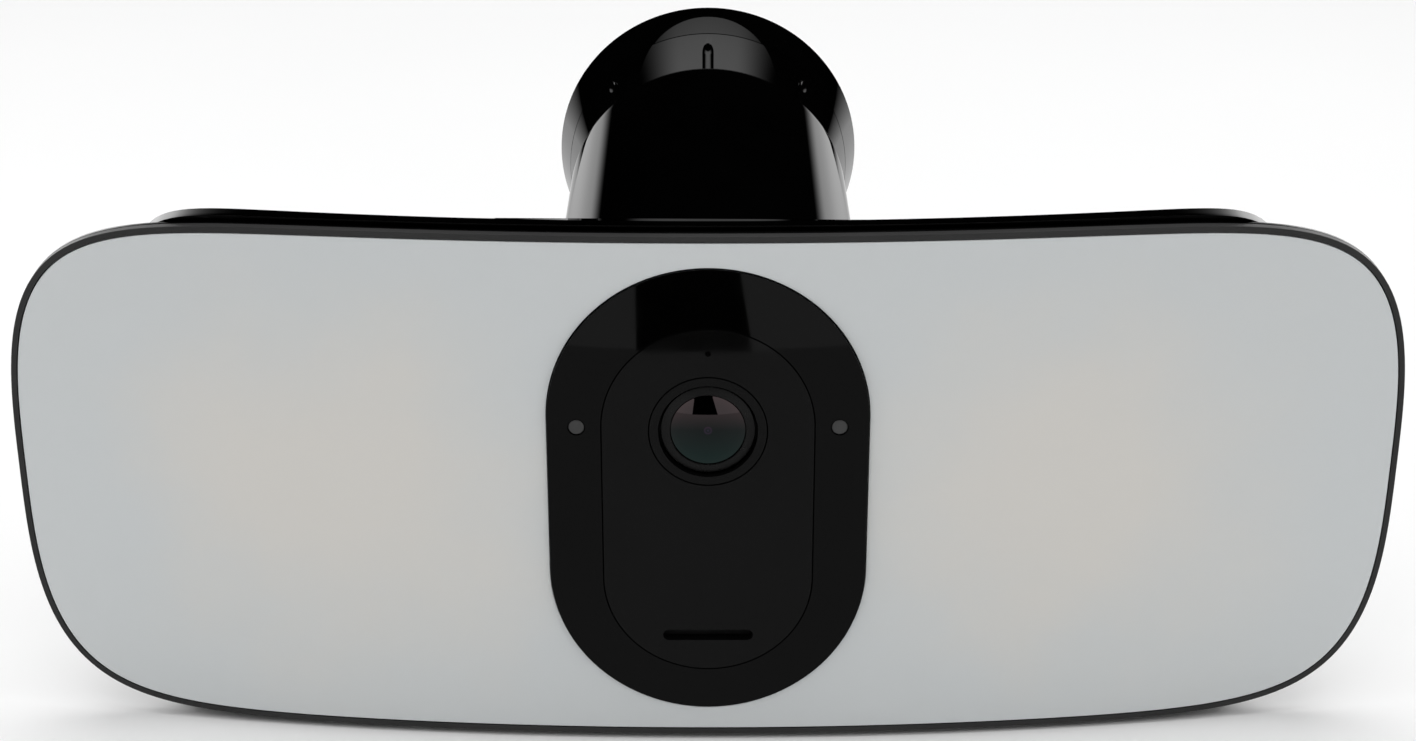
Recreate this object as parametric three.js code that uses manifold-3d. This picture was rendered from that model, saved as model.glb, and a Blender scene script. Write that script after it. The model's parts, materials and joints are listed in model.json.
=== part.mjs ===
// Floodlight security camera for an outside wall: a swept light panel with a camera capsule at its centre,
// a battery housing behind it, and a ball mount clamped by a lock ring.
// Millimetres, +Z up, +Y towards the wall. The origin is the centre of the wall plate's back face.
// Most pieces are drawn in the head's own frame, where y is the depth behind the middle of the panel's
// front and z is the height above the middle of the panel.
import * as THREE from "three";
import { mergeVertices } from "three/addons/utils/BufferGeometryUtils.js";
import Module from "manifold-3d";

// ---- driving dimensions ----
const reach = 115; // wall to the middle of the panel's front
const headDrop = 57.2; // mount axis above the middle of the panel
const gap = 0.3; // clearance between pieces that touch

const panelWidth = 374.6;
const panelHeight = 147.1;
const panelSidePower = 10; // superellipse exponents of the panel's outline
const panelTopPower = 3.1;
const panelBendRadius = 938; // plan radius of the swept front
const frameDepth = 4; // panel front to the back of the light frame
const frameThickness = 1.4; // frame that the trim and the diffuser rest on
const trimWidth = 1.6;
const diffuserThickness = 2.2;
const flangeWidth = 3.5; // frame flange inside the casing's outline

const casingWidth = 304;
const casingHeight = panelHeight + 2.4;
const casingSidePower = 20;
const casingTopPower = 8;
const casingBendRadius = 800;
const casingWallDepth = 8.1; // panel front to the back edge of the casing's top wall
const casingCrownDepth = 22; // panel front to the casing's flattest, deepest part
const casingWall = 2.2;
const crownWidth = casingWidth - 74; // flat middle of the casing's back
const crownHeight = casingHeight - 39.5;
const crownPower = 4;

const capsuleWidth = 84.5;
const capsuleHeight = 129.4;
const capsuleProud = 0.3; // capsule face in front of the middle of the panel
const capsuleThickness = 3.3;
const facePlateWidth = 55.8;
const facePlateHeight = 100.5;
const facePlateDrop = 2.2; // face plate's middle below the panel's middle
const lensHeight = 19; // lens axis above the panel's middle
const lensRingRadius = 15.45;
const lensRingHole = 13.4;
const barrelRadius = 12.4;
const glassRadius = 9.75;
const glassBulge = 0.45;
const barrelLength = 9.4;
const windowOffset = 34.5; // small round windows either side of the lens
const windowHeight = 20.3;
const windowRadius = 2;
const windowSetBack = 0.1;
const micHeight = 41.3;
const micHoleRadius = 0.75;
const slotWidth = 24.4;
const slotHeight = 3.2;
const slotDrop = 42; // speaker slot below the panel's middle
const tubMargin = 1.2; // camera tub inside the capsule's outline
const tubWall = 1.5;
const tubDepth = 15.2; // panel front to the back of the tub
const boardThickness = 1.4;

const lightBoardWidth = 92;
const lightBoardHeight = 96;
const lightBoardCentre = 98; // sideways from the panel's middle
const lightBoardDepth = 9.6; // front of a light board behind the panel's front
const chipColumns = 5;
const chipRows = 4;
const chipSize = 3.4;
const chipHeight = 0.8;
const spreaderThickness = 1.5;
const reflectorWall = 1.2;

const neckRearRadius = 38.7;
const neckRearDepth = reach - 43; // panel front to the neck's open rear end
const neckFrontRadius = 43.5;
const neckFrontDepth = 20;
const neckFrontTop = 30; // upper arc's centre at the front of the neck
const neckFrontBottom = -27; // lower arc's centre at the front
const neckBulge = 3; // power of the curve that the underside follows
const neckWall = 2.8;
const bulkheadDepth = neckRearDepth - 17; // panel front to the front face of the neck's bulkhead
const bulkheadThickness = 3;
const shelfHeight = 14; // floor between the mouth and the battery bay

const hatchHeight = -34; // parting plane between housing and battery hatch
const packWidth = 58;
const packDepth = 25;
const packHeight = 63;
const packFrontDepth = 24.4; // panel front to the front of the battery pack
const packBottom = -36.5;

const ballRadius = 18;
const ballOffset = ballRadius + 5; // wall to the ball's centre
const ballClearance = 0.3;
const linerThickness = 3;
const linerFrontAngle = 66; // degrees from the mount axis
const linerRearAngle = 116;
const studRadius = 7.5;
const studThreadRadius = 5;
const nutAcrossFlats = 17;
const nutThickness = 6;

const baseRadius = 43.5;
const partingRadius = 40.1;
const baseDepth = 15; // wall to the parting line between base and lock ring
const baseWall = 2.6;
const plateRadius = 38;
const plateThickness = 3;
const bossRadius = ballRadius + 13; // threaded boss inside the lock ring
const bossFront = ballOffset - 1; // wall to the boss's front
const ringFront = ballOffset + 15; // wall to the lock ring's front
const ringFrontRadius = 34.6;
const threadClearance = 0.5;
const mouthAngle = 61.5; // half angle of the lock ring's flared mouth
const fluteCount = 8;
const fluteRadius = 1.6;
const fluteDepth = 1.2;
const fluteStart = 20; // wall to the rear end of the flutes
const plateHoleCount = 4;
const plateHoleCircle = 33;
const plateHoleRadius = 2.4;
const baseScrewCount = 3;
const baseScrewCircle = bossRadius - 4.5;

const screwRadius = 1.5;
const screwHeadRadius = 2.9;
const screwHeadHeight = 2;
const crossReach = 1.8; // cross recess: half its length, half its width and its depth
const crossHalf = 0.4;
const crossDepth = 1.1;
const neckBossRadius = 4;
const postRadius = 4; // posts that the shell screws pass through
const frameBossRadius = 4.5; // bosses that the shell screws end in
const shellScrewOffset = casingWidth / 2 - 32;
const shellScrewHeight = casingHeight / 2 - 7.15;

const releaseRadius = 7;
const releaseHeight = -10;
const releaseLength = 9;
const syncRadius = 4;
const syncDepth = 40;
const syncHeight = 10;
const syncLength = 6;
const buttonProud = 0.8;
const portDepth = 40; // middle of the charging port behind the panel's front
const portHeight = 5;
const portCoverHeight = 22;
const portCoverWidth = 14;
const portCoverThickness = 1.6;

// ---- mesh fineness ----
const outlineSteps = 56;
const bendSteps = 12;
const roundSteps = 28;
const ringSteps = 40;
const smallSteps = 12;
const mediumSteps = 20;
const slotSteps = 6;
const neckSteps = 7;
const neckArcSteps = 8;
const weldDistance = 2e-3;
const ahead = -10; // depths in front of and behind every piece, where cutting tools start and end
const beyond = 60;

const wasm = await Module();
wasm.setup();

// ---- solids ----

// Positions with close vertices merged, and the corners of the triangles that keep three different ones.
function weld(geometry) {
  const bare = geometry.clone();
  bare.deleteAttribute("normal");
  bare.deleteAttribute("uv");
  const merged = mergeVertices(bare, weldDistance);
  const corners = merged.index.array;
  const kept = [];
  for (let i = 0; i < corners.length; i += 3) {
    const [a, b, c] = corners.slice(i, i + 3);
    if (a !== b && b !== c && c !== a) kept.push(a, b, c);
  }
  return { positions: merged.attributes.position.array, kept };
}

function solidOf(geometry) {
  const { positions: vertProperties, kept } = weld(geometry);
  const make = (list) =>
    new wasm.Manifold(new wasm.Mesh({ numProp: 3, vertProperties, triVerts: new Uint32Array(list) }));
  const solid = make(kept);
  return solid.volume() > 0 ? solid : make(kept.reverse());
}

function geometryOf(solid) {
  const mesh = solid.getMesh();
  const positions = new Float32Array(mesh.numVert * 3);
  for (let i = 0; i < mesh.numVert; i++) {
    for (let k = 0; k < 3; k++) positions[i * 3 + k] = mesh.vertProperties[i * mesh.numProp + k];
  }
  const raw = new THREE.BufferGeometry();
  raw.setAttribute("position", new THREE.BufferAttribute(positions, 3));
  raw.setIndex(new THREE.BufferAttribute(new Uint32Array(mesh.triVerts), 1));
  const welded = weld(raw);
  const geometry = new THREE.BufferGeometry();
  geometry.setAttribute("position", new THREE.BufferAttribute(welded.positions, 3));
  geometry.setIndex(welded.kept);
  geometry.computeVertexNormals();
  return geometry;
}

const cut = (solid, ...tools) => tools.reduce((rest, tool) => rest.subtract(tool), solid);
const join = (solid, ...others) => others.reduce((sum, other) => sum.add(other), solid);
const common = (a, b) => a.intersect(b);
const lerp = THREE.MathUtils.lerp;
const radians = THREE.MathUtils.degToRad;

function block(x0, x1, y0, y1, z0, z1) {
  const box = new THREE.BoxGeometry(x1 - x0, y1 - y0, z1 - z0);
  return solidOf(box.translate((x0 + x1) / 2, (y0 + y1) / 2, (z0 + z1) / 2));
}

// A cylinder along Y between two depths.
function disc(radius, front, back, x = 0, z = 0, steps = roundSteps) {
  const round = new THREE.CylinderGeometry(radius, radius, back - front, steps);
  return solidOf(round.translate(x, (front + back) / 2, z));
}

// A cylinder along X between two offsets.
function sidePin(radius, x0, x1, y, z) {
  const round = new THREE.CylinderGeometry(radius, radius, x1 - x0, smallSteps);
  return solidOf(round.rotateZ(Math.PI / 2).translate((x0 + x1) / 2, y, z));
}

function ball(radius, y, z, steps = roundSteps) {
  return solidOf(new THREE.SphereGeometry(radius, steps, steps / 2).translate(0, y, z));
}

// A profile of [radius, y] points turned about the Y axis.
function turned(profile, steps = roundSteps) {
  return solidOf(new THREE.LatheGeometry(profile.map(([r, y]) => new THREE.Vector2(r, y)), steps));
}

// A flat outline in x and z, made solid between two depths.
function plate(shape, front, back, curveSegments = neckArcSteps) {
  const options = { depth: back - front, bevelEnabled: false, curveSegments };
  const extruded = new THREE.ExtrudeGeometry(shape, options);
  return solidOf(extruded.rotateX(Math.PI / 2).translate(0, back, 0));
}

// ---- outlines ----

class Superellipse extends THREE.Curve {
  constructor(halfWidth, halfHeight, sidePower, topPower) {
    super();
    Object.assign(this, { halfWidth, halfHeight, sidePower, topPower });
    this.arcLengthDivisions = 3000;
  }

  getPoint(t, target = new THREE.Vector2()) {
    const c = Math.cos(2 * Math.PI * t);
    const s = Math.sin(2 * Math.PI * t);
    const x = this.halfWidth * Math.sign(c) * Math.abs(c) ** (2 / this.sidePower);
    const z = this.halfHeight * Math.sign(s) * Math.abs(s) ** (2 / this.topPower);
    return target.set(x, z);
  }
}

// Evenly spaced points of an outline, moved inwards along its normals.
function insetPoints(curve, inset) {
  const points = curve.getSpacedPoints(outlineSteps).slice(0, outlineSteps);
  return points.map((point, i) => {
    const before = points[(i + outlineSteps - 1) % outlineSteps];
    const after = points[(i + 1) % outlineSteps];
    const along = after.clone().sub(before).normalize();
    return new THREE.Vector2(point.x - along.y * inset, point.y + along.x * inset);
  });
}

const panelCurve = new Superellipse(panelWidth / 2, panelHeight / 2, panelSidePower, panelTopPower);
const casingCurve = new Superellipse(casingWidth / 2, casingHeight / 2, casingSidePower, casingTopPower);
const crownCurve = new Superellipse(crownWidth / 2, crownHeight / 2, crownPower, crownPower);
const panelShape = (inset) => new THREE.Shape(insetPoints(panelCurve, inset));
const casingShape = (inset) => new THREE.Shape(insetPoints(casingCurve, inset));

function stadium(width, height, z = 0) {
  const radius = width / 2;
  const straight = height / 2 - radius;
  const shape = new THREE.Shape();
  shape.absarc(0, z + straight, radius, 0, Math.PI);
  shape.absarc(0, z - straight, radius, Math.PI, 2 * Math.PI);
  return shape;
}

function flatStadium(width, height, z) {
  const radius = height / 2;
  const straight = width / 2 - radius;
  const shape = new THREE.Shape();
  shape.absarc(straight, z, radius, -Math.PI / 2, Math.PI / 2);
  shape.absarc(-straight, z, radius, Math.PI / 2, (3 * Math.PI) / 2);
  return shape;
}

// How far a swept surface has fallen back at a sideways offset.
const sweep = (x, radius) => radius - Math.sqrt(radius ** 2 - x ** 2);

// A slab that follows the panel's sweep between two depths.
function sweptSlab(front, back) {
  const margin = 10;
  const half = panelWidth / 2 + margin;
  const height = panelHeight + 2 * margin;
  const edge = [];
  for (let i = 0; i <= bendSteps; i++) edge.push(lerp(-half, half, i / bendSteps));
  const frontEdge = edge.map((x) => new THREE.Vector2(x, front + sweep(x, panelBendRadius)));
  const backEdge = edge.map((x) => new THREE.Vector2(x, back + sweep(x, panelBendRadius))).reverse();
  const slab = new THREE.ExtrudeGeometry(new THREE.Shape([...frontEdge, ...backEdge]), {
    depth: height,
    bevelEnabled: false,
  });
  return solidOf(slab.translate(0, 0, -height / 2));
}

const sweptPlate = (shape, front, back) => common(plate(shape, ahead, beyond), sweptSlab(front, back));

// Rings of outline points, each with its depth and sweep, joined in order from axis to axis.
function ringLoft(rings) {
  const spokes = rings.map((ring, i) => new THREE.Vector2(i + 1, 0));
  const lathe = new THREE.LatheGeometry(spokes, outlineSteps);
  const position = lathe.attributes.position;
  for (let spoke = 0; spoke <= outlineSteps; spoke++) {
    rings.forEach(({ points, scale, depth, bend }, i) => {
      const point = points[spoke % outlineSteps];
      const x = point.x * scale;
      position.setXYZ(spoke * rings.length + i, x, depth + sweep(x, bend), point.y * scale);
    });
  }
  return solidOf(lathe);
}

// ---- light panel ----

const frameFront = frameDepth - frameThickness;
const capsuleOpening = plate(stadium(capsuleWidth + 2 * gap, capsuleHeight + 2 * gap), ahead, beyond);

function screwSpots() {
  return [1, 2, 3, 4].map((number) => {
    const side = number % 2 ? -1 : 1;
    const level = number <= 2 ? 1 : -1;
    return { number, x: side * shellScrewOffset, z: level * shellScrewHeight };
  });
}

const casingFront = frameDepth + gap;
const shellScrewTip = frameFront + 0.8;
const shellScrewSeat = casingWallDepth + 5.5;

function lightFrame() {
  const body = sweptPlate(panelShape(0), frameFront, frameDepth);
  const opening = plate(casingShape(flangeWidth), ahead, beyond);
  const frame = cut(body, opening);
  const bosses = screwSpots().map(({ x, z }) => {
    const post = disc(frameBossRadius, ahead, beyond, x, z, smallSteps);
    const trimmed = common(post, plate(panelShape(gap), ahead, beyond));
    return common(trimmed, sweptSlab(frameFront, frameDepth));
  });
  const holes = screwSpots().map(({ x, z }) =>
    disc(screwRadius + gap, shellScrewTip - gap + sweep(x, panelBendRadius), beyond, x, z, smallSteps),
  );
  return cut(join(frame, ...bosses), ...holes);
}

function frontTrim() {
  const outer = sweptPlate(panelShape(0), 0, frameFront - gap);
  return cut(outer, plate(panelShape(trimWidth), ahead, beyond));
}

const diffuserSetBack = 0.1; // diffuser's front behind the trim's front

function lightDiffuser() {
  const shape = panelShape(trimWidth + gap);
  const sheet = sweptPlate(shape, diffuserSetBack, diffuserSetBack + diffuserThickness);
  return cut(sheet, capsuleOpening);
}

// ---- casing ----

function casingBlank(inset, front, wallDepth, crownDepth) {
  const outline = insetPoints(casingCurve, inset);
  const crown = insetPoints(crownCurve, 0);
  const mix = (share) => outline.map((point, i) => point.clone().lerp(crown[i], share));
  const domeShares = [0.14, 0.36, 0.64, 1];
  const dome = domeShares.map((share) => ({
    points: mix(share),
    scale: 1,
    depth: lerp(wallDepth, crownDepth, Math.sin((share * Math.PI) / 2)),
    bend: casingBendRadius,
  }));
  return ringLoft([
    { points: outline, scale: 0, depth: front, bend: panelBendRadius },
    { points: outline, scale: 0.5, depth: front, bend: panelBendRadius },
    { points: outline, scale: 1, depth: front, bend: panelBendRadius },
    { points: outline, scale: 1, depth: wallDepth, bend: casingBendRadius },
    ...dome,
    { points: crown, scale: 0.5, depth: crownDepth, bend: casingBendRadius },
    { points: crown, scale: 0, depth: crownDepth, bend: casingBendRadius },
  ]);
}

const casingSolid = casingBlank(0, casingFront, casingWallDepth, casingCrownDepth);

function neckScrewSpots() {
  const high = neckFrontRadius - 5;
  const diagonal = high * Math.SQRT1_2;
  const low = neckFrontBottom + 8;
  return [
    { number: 1, x: -diagonal, z: neckFrontTop + diagonal },
    { number: 2, x: diagonal, z: neckFrontTop + diagonal },
    { number: 3, x: -high, z: low },
    { number: 4, x: high, z: low },
  ];
}

const neckScrewSeat = 17.7; // front face of the pads that the neck screws clamp
const padRadius = screwHeadRadius + 1.4;
const wallThickening = 0.6; // extra thickness behind the casing's top wall

function rearShell() {
  const wallDepth = casingWallDepth - wallThickening;
  const inside = casingBlank(casingWall, ahead / 2, wallDepth, casingCrownDepth - casingWall);
  const shell = cut(casingSolid, inside);
  const pads = neckScrewSpots().map(({ x, z }) => disc(padRadius, neckScrewSeat, beyond, x, z, smallSteps));
  const posts = screwSpots().map(({ x, z }) => {
    const front = casingFront + sweep(x, panelBendRadius);
    return disc(postRadius, front, beyond, x, z, smallSteps);
  });
  const filled = join(shell, ...[...pads, ...posts].map((post) => common(post, casingSolid)));
  const neckHoles = neckScrewSpots().map(({ x, z }) => {
    return disc(screwRadius + gap, ahead, beyond, x, z, smallSteps);
  });
  const shellHoles = screwSpots().flatMap(({ x, z }) => {
    const back = sweep(x, casingBendRadius);
    return [
      disc(screwRadius + gap, ahead, beyond, x, z, smallSteps),
      disc(screwHeadRadius + gap, shellScrewSeat + back - screwHeadHeight, beyond, x, z, smallSteps),
    ];
  });
  return cut(filled, ...neckHoles, ...shellHoles);
}

// A pan-head screw along Y with its tip forward and a cross recess in its head.
function screw(x, z, tip, seat, headSide) {
  const headBack = seat + headSide * screwHeadHeight;
  const head = disc(screwHeadRadius, Math.min(seat, headBack), Math.max(seat, headBack), x, z, smallSteps);
  const shank = disc(screwRadius, Math.min(tip, seat), Math.max(tip, seat), x, z, smallSteps);
  const face = headBack - headSide * crossDepth;
  const end = headBack + headSide;
  const slot = (wide, tall) =>
    block(x - wide, x + wide, Math.min(face, end), Math.max(face, end), z - tall, z + tall);
  return cut(join(head, shank), slot(crossReach, crossHalf), slot(crossHalf, crossReach));
}

// ---- camera capsule ----

const capsuleFront = -capsuleProud;
const capsuleBack = capsuleFront + capsuleThickness;
const facePlateZ = -facePlateDrop;

function capsuleCover() {
  const body = plate(stadium(capsuleWidth, capsuleHeight), capsuleFront, capsuleBack);
  const opening = stadium(facePlateWidth + 2 * gap, facePlateHeight + 2 * gap, facePlateZ);
  const windows = [-1, 1].map((side) =>
    disc(windowRadius + gap, ahead, beyond, side * windowOffset, windowHeight, smallSteps),
  );
  return cut(body, plate(opening, ahead, beyond), ...windows);
}

function facePlate() {
  const body = plate(stadium(facePlateWidth, facePlateHeight, facePlateZ), capsuleFront, capsuleBack);
  return cut(
    body,
    disc(lensRingRadius + gap, ahead, beyond, 0, lensHeight),
    disc(micHoleRadius, ahead, beyond, 0, micHeight, smallSteps),
    plate(flatStadium(slotWidth, slotHeight, -slotDrop), ahead, beyond, slotSteps),
  );
}

function lensRing() {
  const ring = [
    [lensRingHole, capsuleFront],
    [lensRingRadius, capsuleFront],
    [lensRingRadius, capsuleBack],
    [lensRingHole, capsuleBack],
    [lensRingHole, capsuleFront],
  ];
  return turned(ring).translate([0, 0, lensHeight]);
}

const barrelFront = 0.6;
const barrelNeckRadius = 8.4;
const barrelChamfer = 0.5;
const barrelHeadLength = 4; // wide front part of the barrel
const glassSeat = 2.2; // depth of the pocket that the glass sits in

function lensBarrel() {
  const pocket = barrelFront + glassSeat;
  const profile = [
    [0, pocket],
    [glassRadius + gap, pocket],
    [glassRadius + gap, barrelFront],
    [barrelRadius - barrelChamfer, barrelFront],
    [barrelRadius, barrelFront + barrelChamfer],
    [barrelRadius, barrelFront + barrelHeadLength],
    [barrelNeckRadius, barrelFront + barrelHeadLength + 1],
    [barrelNeckRadius, barrelFront + barrelLength],
    [0, barrelFront + barrelLength],
  ];
  return turned(profile).translate([0, 0, lensHeight]);
}

function lensGlass() {
  const back = barrelFront + glassSeat - gap;
  const rim = barrelFront + 0.4;
  const profile = [[0, rim - glassBulge]];
  const rings = 5;
  for (let i = 1; i <= rings; i++) {
    const share = i / rings;
    profile.push([glassRadius * share, rim - glassBulge * (1 - share ** 2)]);
  }
  profile.push([glassRadius, back], [0, back]);
  return turned(profile).translate([0, 0, lensHeight]);
}

const holderHalf = 14;
const holderFloor = 1.2;
const holderBack = barrelFront + barrelLength + gap + holderFloor;
const sensorBoardHalf = 15;
const sensorBoardFront = holderBack + gap;

// Square bracket that carries the barrel on the sensor board.
function lensHolder() {
  const front = barrelFront + barrelHeadLength + 1.4;
  const [low, high] = [lensHeight - holderHalf, lensHeight + holderHalf];
  const body = block(-holderHalf, holderHalf, front, holderBack, low, high);
  const bore = disc(barrelNeckRadius + gap, ahead, barrelFront + barrelLength + gap, 0, lensHeight);
  const lightPath = disc(barrelNeckRadius / 2, ahead, beyond, 0, lensHeight, smallSteps);
  return cut(body, bore, lightPath);
}

function sensorBoard() {
  const [low, high] = [lensHeight - sensorBoardHalf, lensHeight + sensorBoardHalf];
  return block(-sensorBoardHalf, sensorBoardHalf, sensorBoardFront, sensorBoardFront + 1, low, high);
}

function statusWindow(side) {
  const front = capsuleFront + windowSetBack;
  return disc(windowRadius, front, capsuleBack - 0.5, side * windowOffset, windowHeight, smallSteps);
}

// Infrared lamp behind a round window: a domed cap on a collar.
function infraredLamp(side) {
  const front = capsuleBack + gap;
  const profile = [
    [0, front],
    [1.2, front + 0.4],
    [1.9, front + 1.4],
    [1.9, front + 4],
    [2.4, front + 4],
    [2.4, front + 5.5],
    [0, front + 5.5],
  ];
  return turned(profile, smallSteps).translate([side * windowOffset, 0, windowHeight]);
}

function microphone() {
  const front = capsuleBack + gap;
  const half = 1.6;
  return block(-2, 2, front, front + 1.3, micHeight - half, micHeight + half);
}

// Round can with a flange at its foot and a small square window sunk in its front.
function motionSensor() {
  const front = capsuleBack + gap + 0.5;
  const z = -11;
  const height = 4.4;
  const can = disc(4.6, front, front + height, 0, z, mediumSteps);
  const flange = disc(5.2, front + height - 0.8, front + height, 0, z, mediumSteps);
  const window = block(-1.6, 1.6, ahead, front + 0.4, z - 1.2, z + 1.2);
  return cut(join(can, flange), window);
}

const meshFront = capsuleBack + gap;
const meshThickness = 0.5;
const meshMargin = 2.5; // mesh beyond the slot on every side

function speakerMesh() {
  const shape = flatStadium(slotWidth + 2 * meshMargin, slotHeight + 2 * meshMargin, -slotDrop);
  return plate(shape, meshFront, meshFront + meshThickness, slotSteps);
}

function speakerDriver() {
  const front = meshFront + meshThickness + gap;
  const profile = [
    [0, front + 1.6],
    [8, front + 0.8],
    [11.5, front + 1.4],
    [12.4, front],
    [13.5, front],
    [13.5, front + 2.4],
    [9.5, front + 3.4],
    [9.5, front + 8],
    [0, front + 8],
  ];
  return turned(profile).translate([0, 0, -slotDrop]);
}

// Light-tight tub round the camera parts, closed at the back and open to the capsule.
function cameraTub() {
  const front = capsuleBack + gap;
  const width = capsuleWidth - 2 * tubMargin;
  const height = capsuleHeight - 2 * tubMargin;
  const body = plate(stadium(width, height), front, tubDepth);
  const hollow = plate(stadium(width - 2 * tubWall, height - 2 * tubWall), ahead, tubDepth - tubWall);
  const cableHole = block(-10, 10, ahead, beyond, -18, -12);
  return cut(body, hollow, cableHole);
}

// ---- electronics ----

const mainBoardFront = tubDepth + gap;
const mainBoardBack = mainBoardFront + boardThickness;

const mainBoardHalfWidth = 34;
const mainBoardHalfHeight = 38;

function mainBoard() {
  const [wide, tall, inset] = [mainBoardHalfWidth, mainBoardHalfHeight, 5];
  const board = block(-wide, wide, mainBoardFront, mainBoardBack, -tall, tall);
  const holes = [-1, 1].map((side) =>
    disc(1.7, ahead, beyond, side * (wide - inset), tall - inset, smallSteps),
  );
  return cut(board, ...holes);
}

function shieldCan() {
  const front = mainBoardBack + gap;
  return block(-14, 14, front, front + 1.9, -12, 16);
}

// Bent metal strip: a foot on the board and a blade that stands up from its top edge.
function antenna(side) {
  const x = side * 24;
  const halfLength = 8;
  const bend = 26;
  const front = mainBoardBack + gap;
  const foot = block(x - halfLength, x + halfLength, front, front + 0.8, bend - 6, bend);
  const blade = block(x - halfLength, x + halfLength, front, front + 2, bend, bend + 1);
  return join(foot, blade);
}

// The light boards, spreaders and reflectors stand on the chord of the sweep on each side.
const lightTilt = Math.asin(lightBoardCentre / panelBendRadius);
const lightSagitta = sweep(lightBoardWidth / 2, panelBendRadius);
const lightBase = sweep(lightBoardCentre, panelBendRadius);

function onSide(solid, side) {
  const turn = side * THREE.MathUtils.radToDeg(lightTilt);
  return solid.rotate([0, 0, turn]).translate([side * lightBoardCentre, lightBase, 0]);
}

function lightBoard(side) {
  const halfWidth = lightBoardWidth / 2;
  const halfHeight = lightBoardHeight / 2;
  const back = lightBoardDepth + boardThickness;
  const board = block(-halfWidth, halfWidth, lightBoardDepth, back, -halfHeight, halfHeight);
  const chips = [];
  const chipMargin = 4;
  for (let column = 0; column < chipColumns; column++) {
    for (let row = 0; row < chipRows; row++) {
      const x = ((column + 0.5) / chipColumns - 0.5) * (lightBoardWidth - 2 * chipMargin);
      const z = ((row + 0.5) / chipRows - 0.5) * (lightBoardHeight - 2 * chipMargin);
      const half = chipSize / 2;
      chips.push(block(x - half, x + half, lightBoardDepth - chipHeight, back, z - half, z + half));
    }
  }
  return onSide(join(board, ...chips), side);
}

function heatSpreader(side) {
  const front = lightBoardDepth + boardThickness + gap;
  const halfWidth = lightBoardWidth / 2 - 1;
  const halfHeight = lightBoardHeight / 2 - 3;
  const sheet = block(-halfWidth, halfWidth, front, front + spreaderThickness, -halfHeight, halfHeight);
  return onSide(sheet, side);
}

// White frame that keeps the light of one board in its own half of the panel.
function lightReflector(side) {
  const front = diffuserSetBack + diffuserThickness + gap + lightSagitta;
  const back = lightBoardDepth - gap;
  const halfWidth = lightBoardWidth / 2;
  const halfHeight = lightBoardHeight / 2;
  const outer = block(-halfWidth, halfWidth, front, back, -halfHeight, halfHeight);
  const inner = block(
    -halfWidth + reflectorWall,
    halfWidth - reflectorWall,
    front - 1,
    back + 1,
    -halfHeight + reflectorWall,
    halfHeight - reflectorWall,
  );
  return onSide(cut(outer, inner), side);
}

// ---- battery housing ----

const neckShare = (depth) => (depth - neckFrontDepth) / (neckRearDepth - neckFrontDepth);
const neckRadiusAt = (depth) => lerp(neckFrontRadius, neckRearRadius, neckShare(depth));
const neckTopAt = (depth) => lerp(neckFrontTop, headDrop, neckShare(depth));

function neckBottomAt(depth) {
  const curve = Math.max(neckShare(depth), 0) ** neckBulge;
  return Math.min(lerp(neckFrontBottom, headDrop, curve), neckTopAt(depth));
}

// The housing's form between two depths: an upright stadium that closes to a circle at the rear.
function neckForm(inset, front, back) {
  const unit = stadium(2, 4);
  const extruded = new THREE.ExtrudeGeometry(unit, {
    depth: 1,
    steps: neckSteps,
    bevelEnabled: false,
    curveSegments: neckArcSteps,
  });
  const position = extruded.attributes.position;
  for (let i = 0; i < position.count; i++) {
    const depth = lerp(back, front, position.getZ(i));
    const radius = neckRadiusAt(depth) - inset;
    const rise = position.getY(i);
    const z = rise > 0 ? neckTopAt(depth) + (rise - 1) * radius : neckBottomAt(depth) + (rise + 1) * radius;
    position.setXYZ(i, position.getX(i) * radius, depth, z);
  }
  return solidOf(extruded);
}

const neckStart = 8; // the form runs forward into the casing, which is then cut away
const neckOuter = neckForm(0, neckStart, neckRearDepth);
const neckInner = neckForm(neckWall, neckStart - 2, neckRearDepth + 1);
const mouthFront = bulkheadDepth + bulkheadThickness;
const everywhere = 200;
const casingCut = casingSolid.translate([0, gap, 0]);

const belowPlane = (z) => block(-everywhere, everywhere, -everywhere, everywhere, -everywhere, z);
const abovePlane = (z) => block(-everywhere, everywhere, -everywhere, everywhere, z, everywhere);
const beforePlane = (y) => block(-everywhere, everywhere, -everywhere, y, -everywhere, everywhere);
const behindPlane = (y) => block(-everywhere, everywhere, y, everywhere, -everywhere, everywhere);

// A block about the middle of the charging port, between two sideways offsets.
function portBlock(x0, x1, half, tall) {
  return block(x0, x1, portDepth - half, portDepth + half, portHeight - tall, portHeight + tall);
}

const portSurface = neckRadiusAt(portDepth);
const portFloor = portSurface - portCoverThickness;

const socketWidth = 9;
const socketHeight = 12;
const plugHalfWidth = 2.4;
const plugHalfHeight = 4.4;

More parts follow.
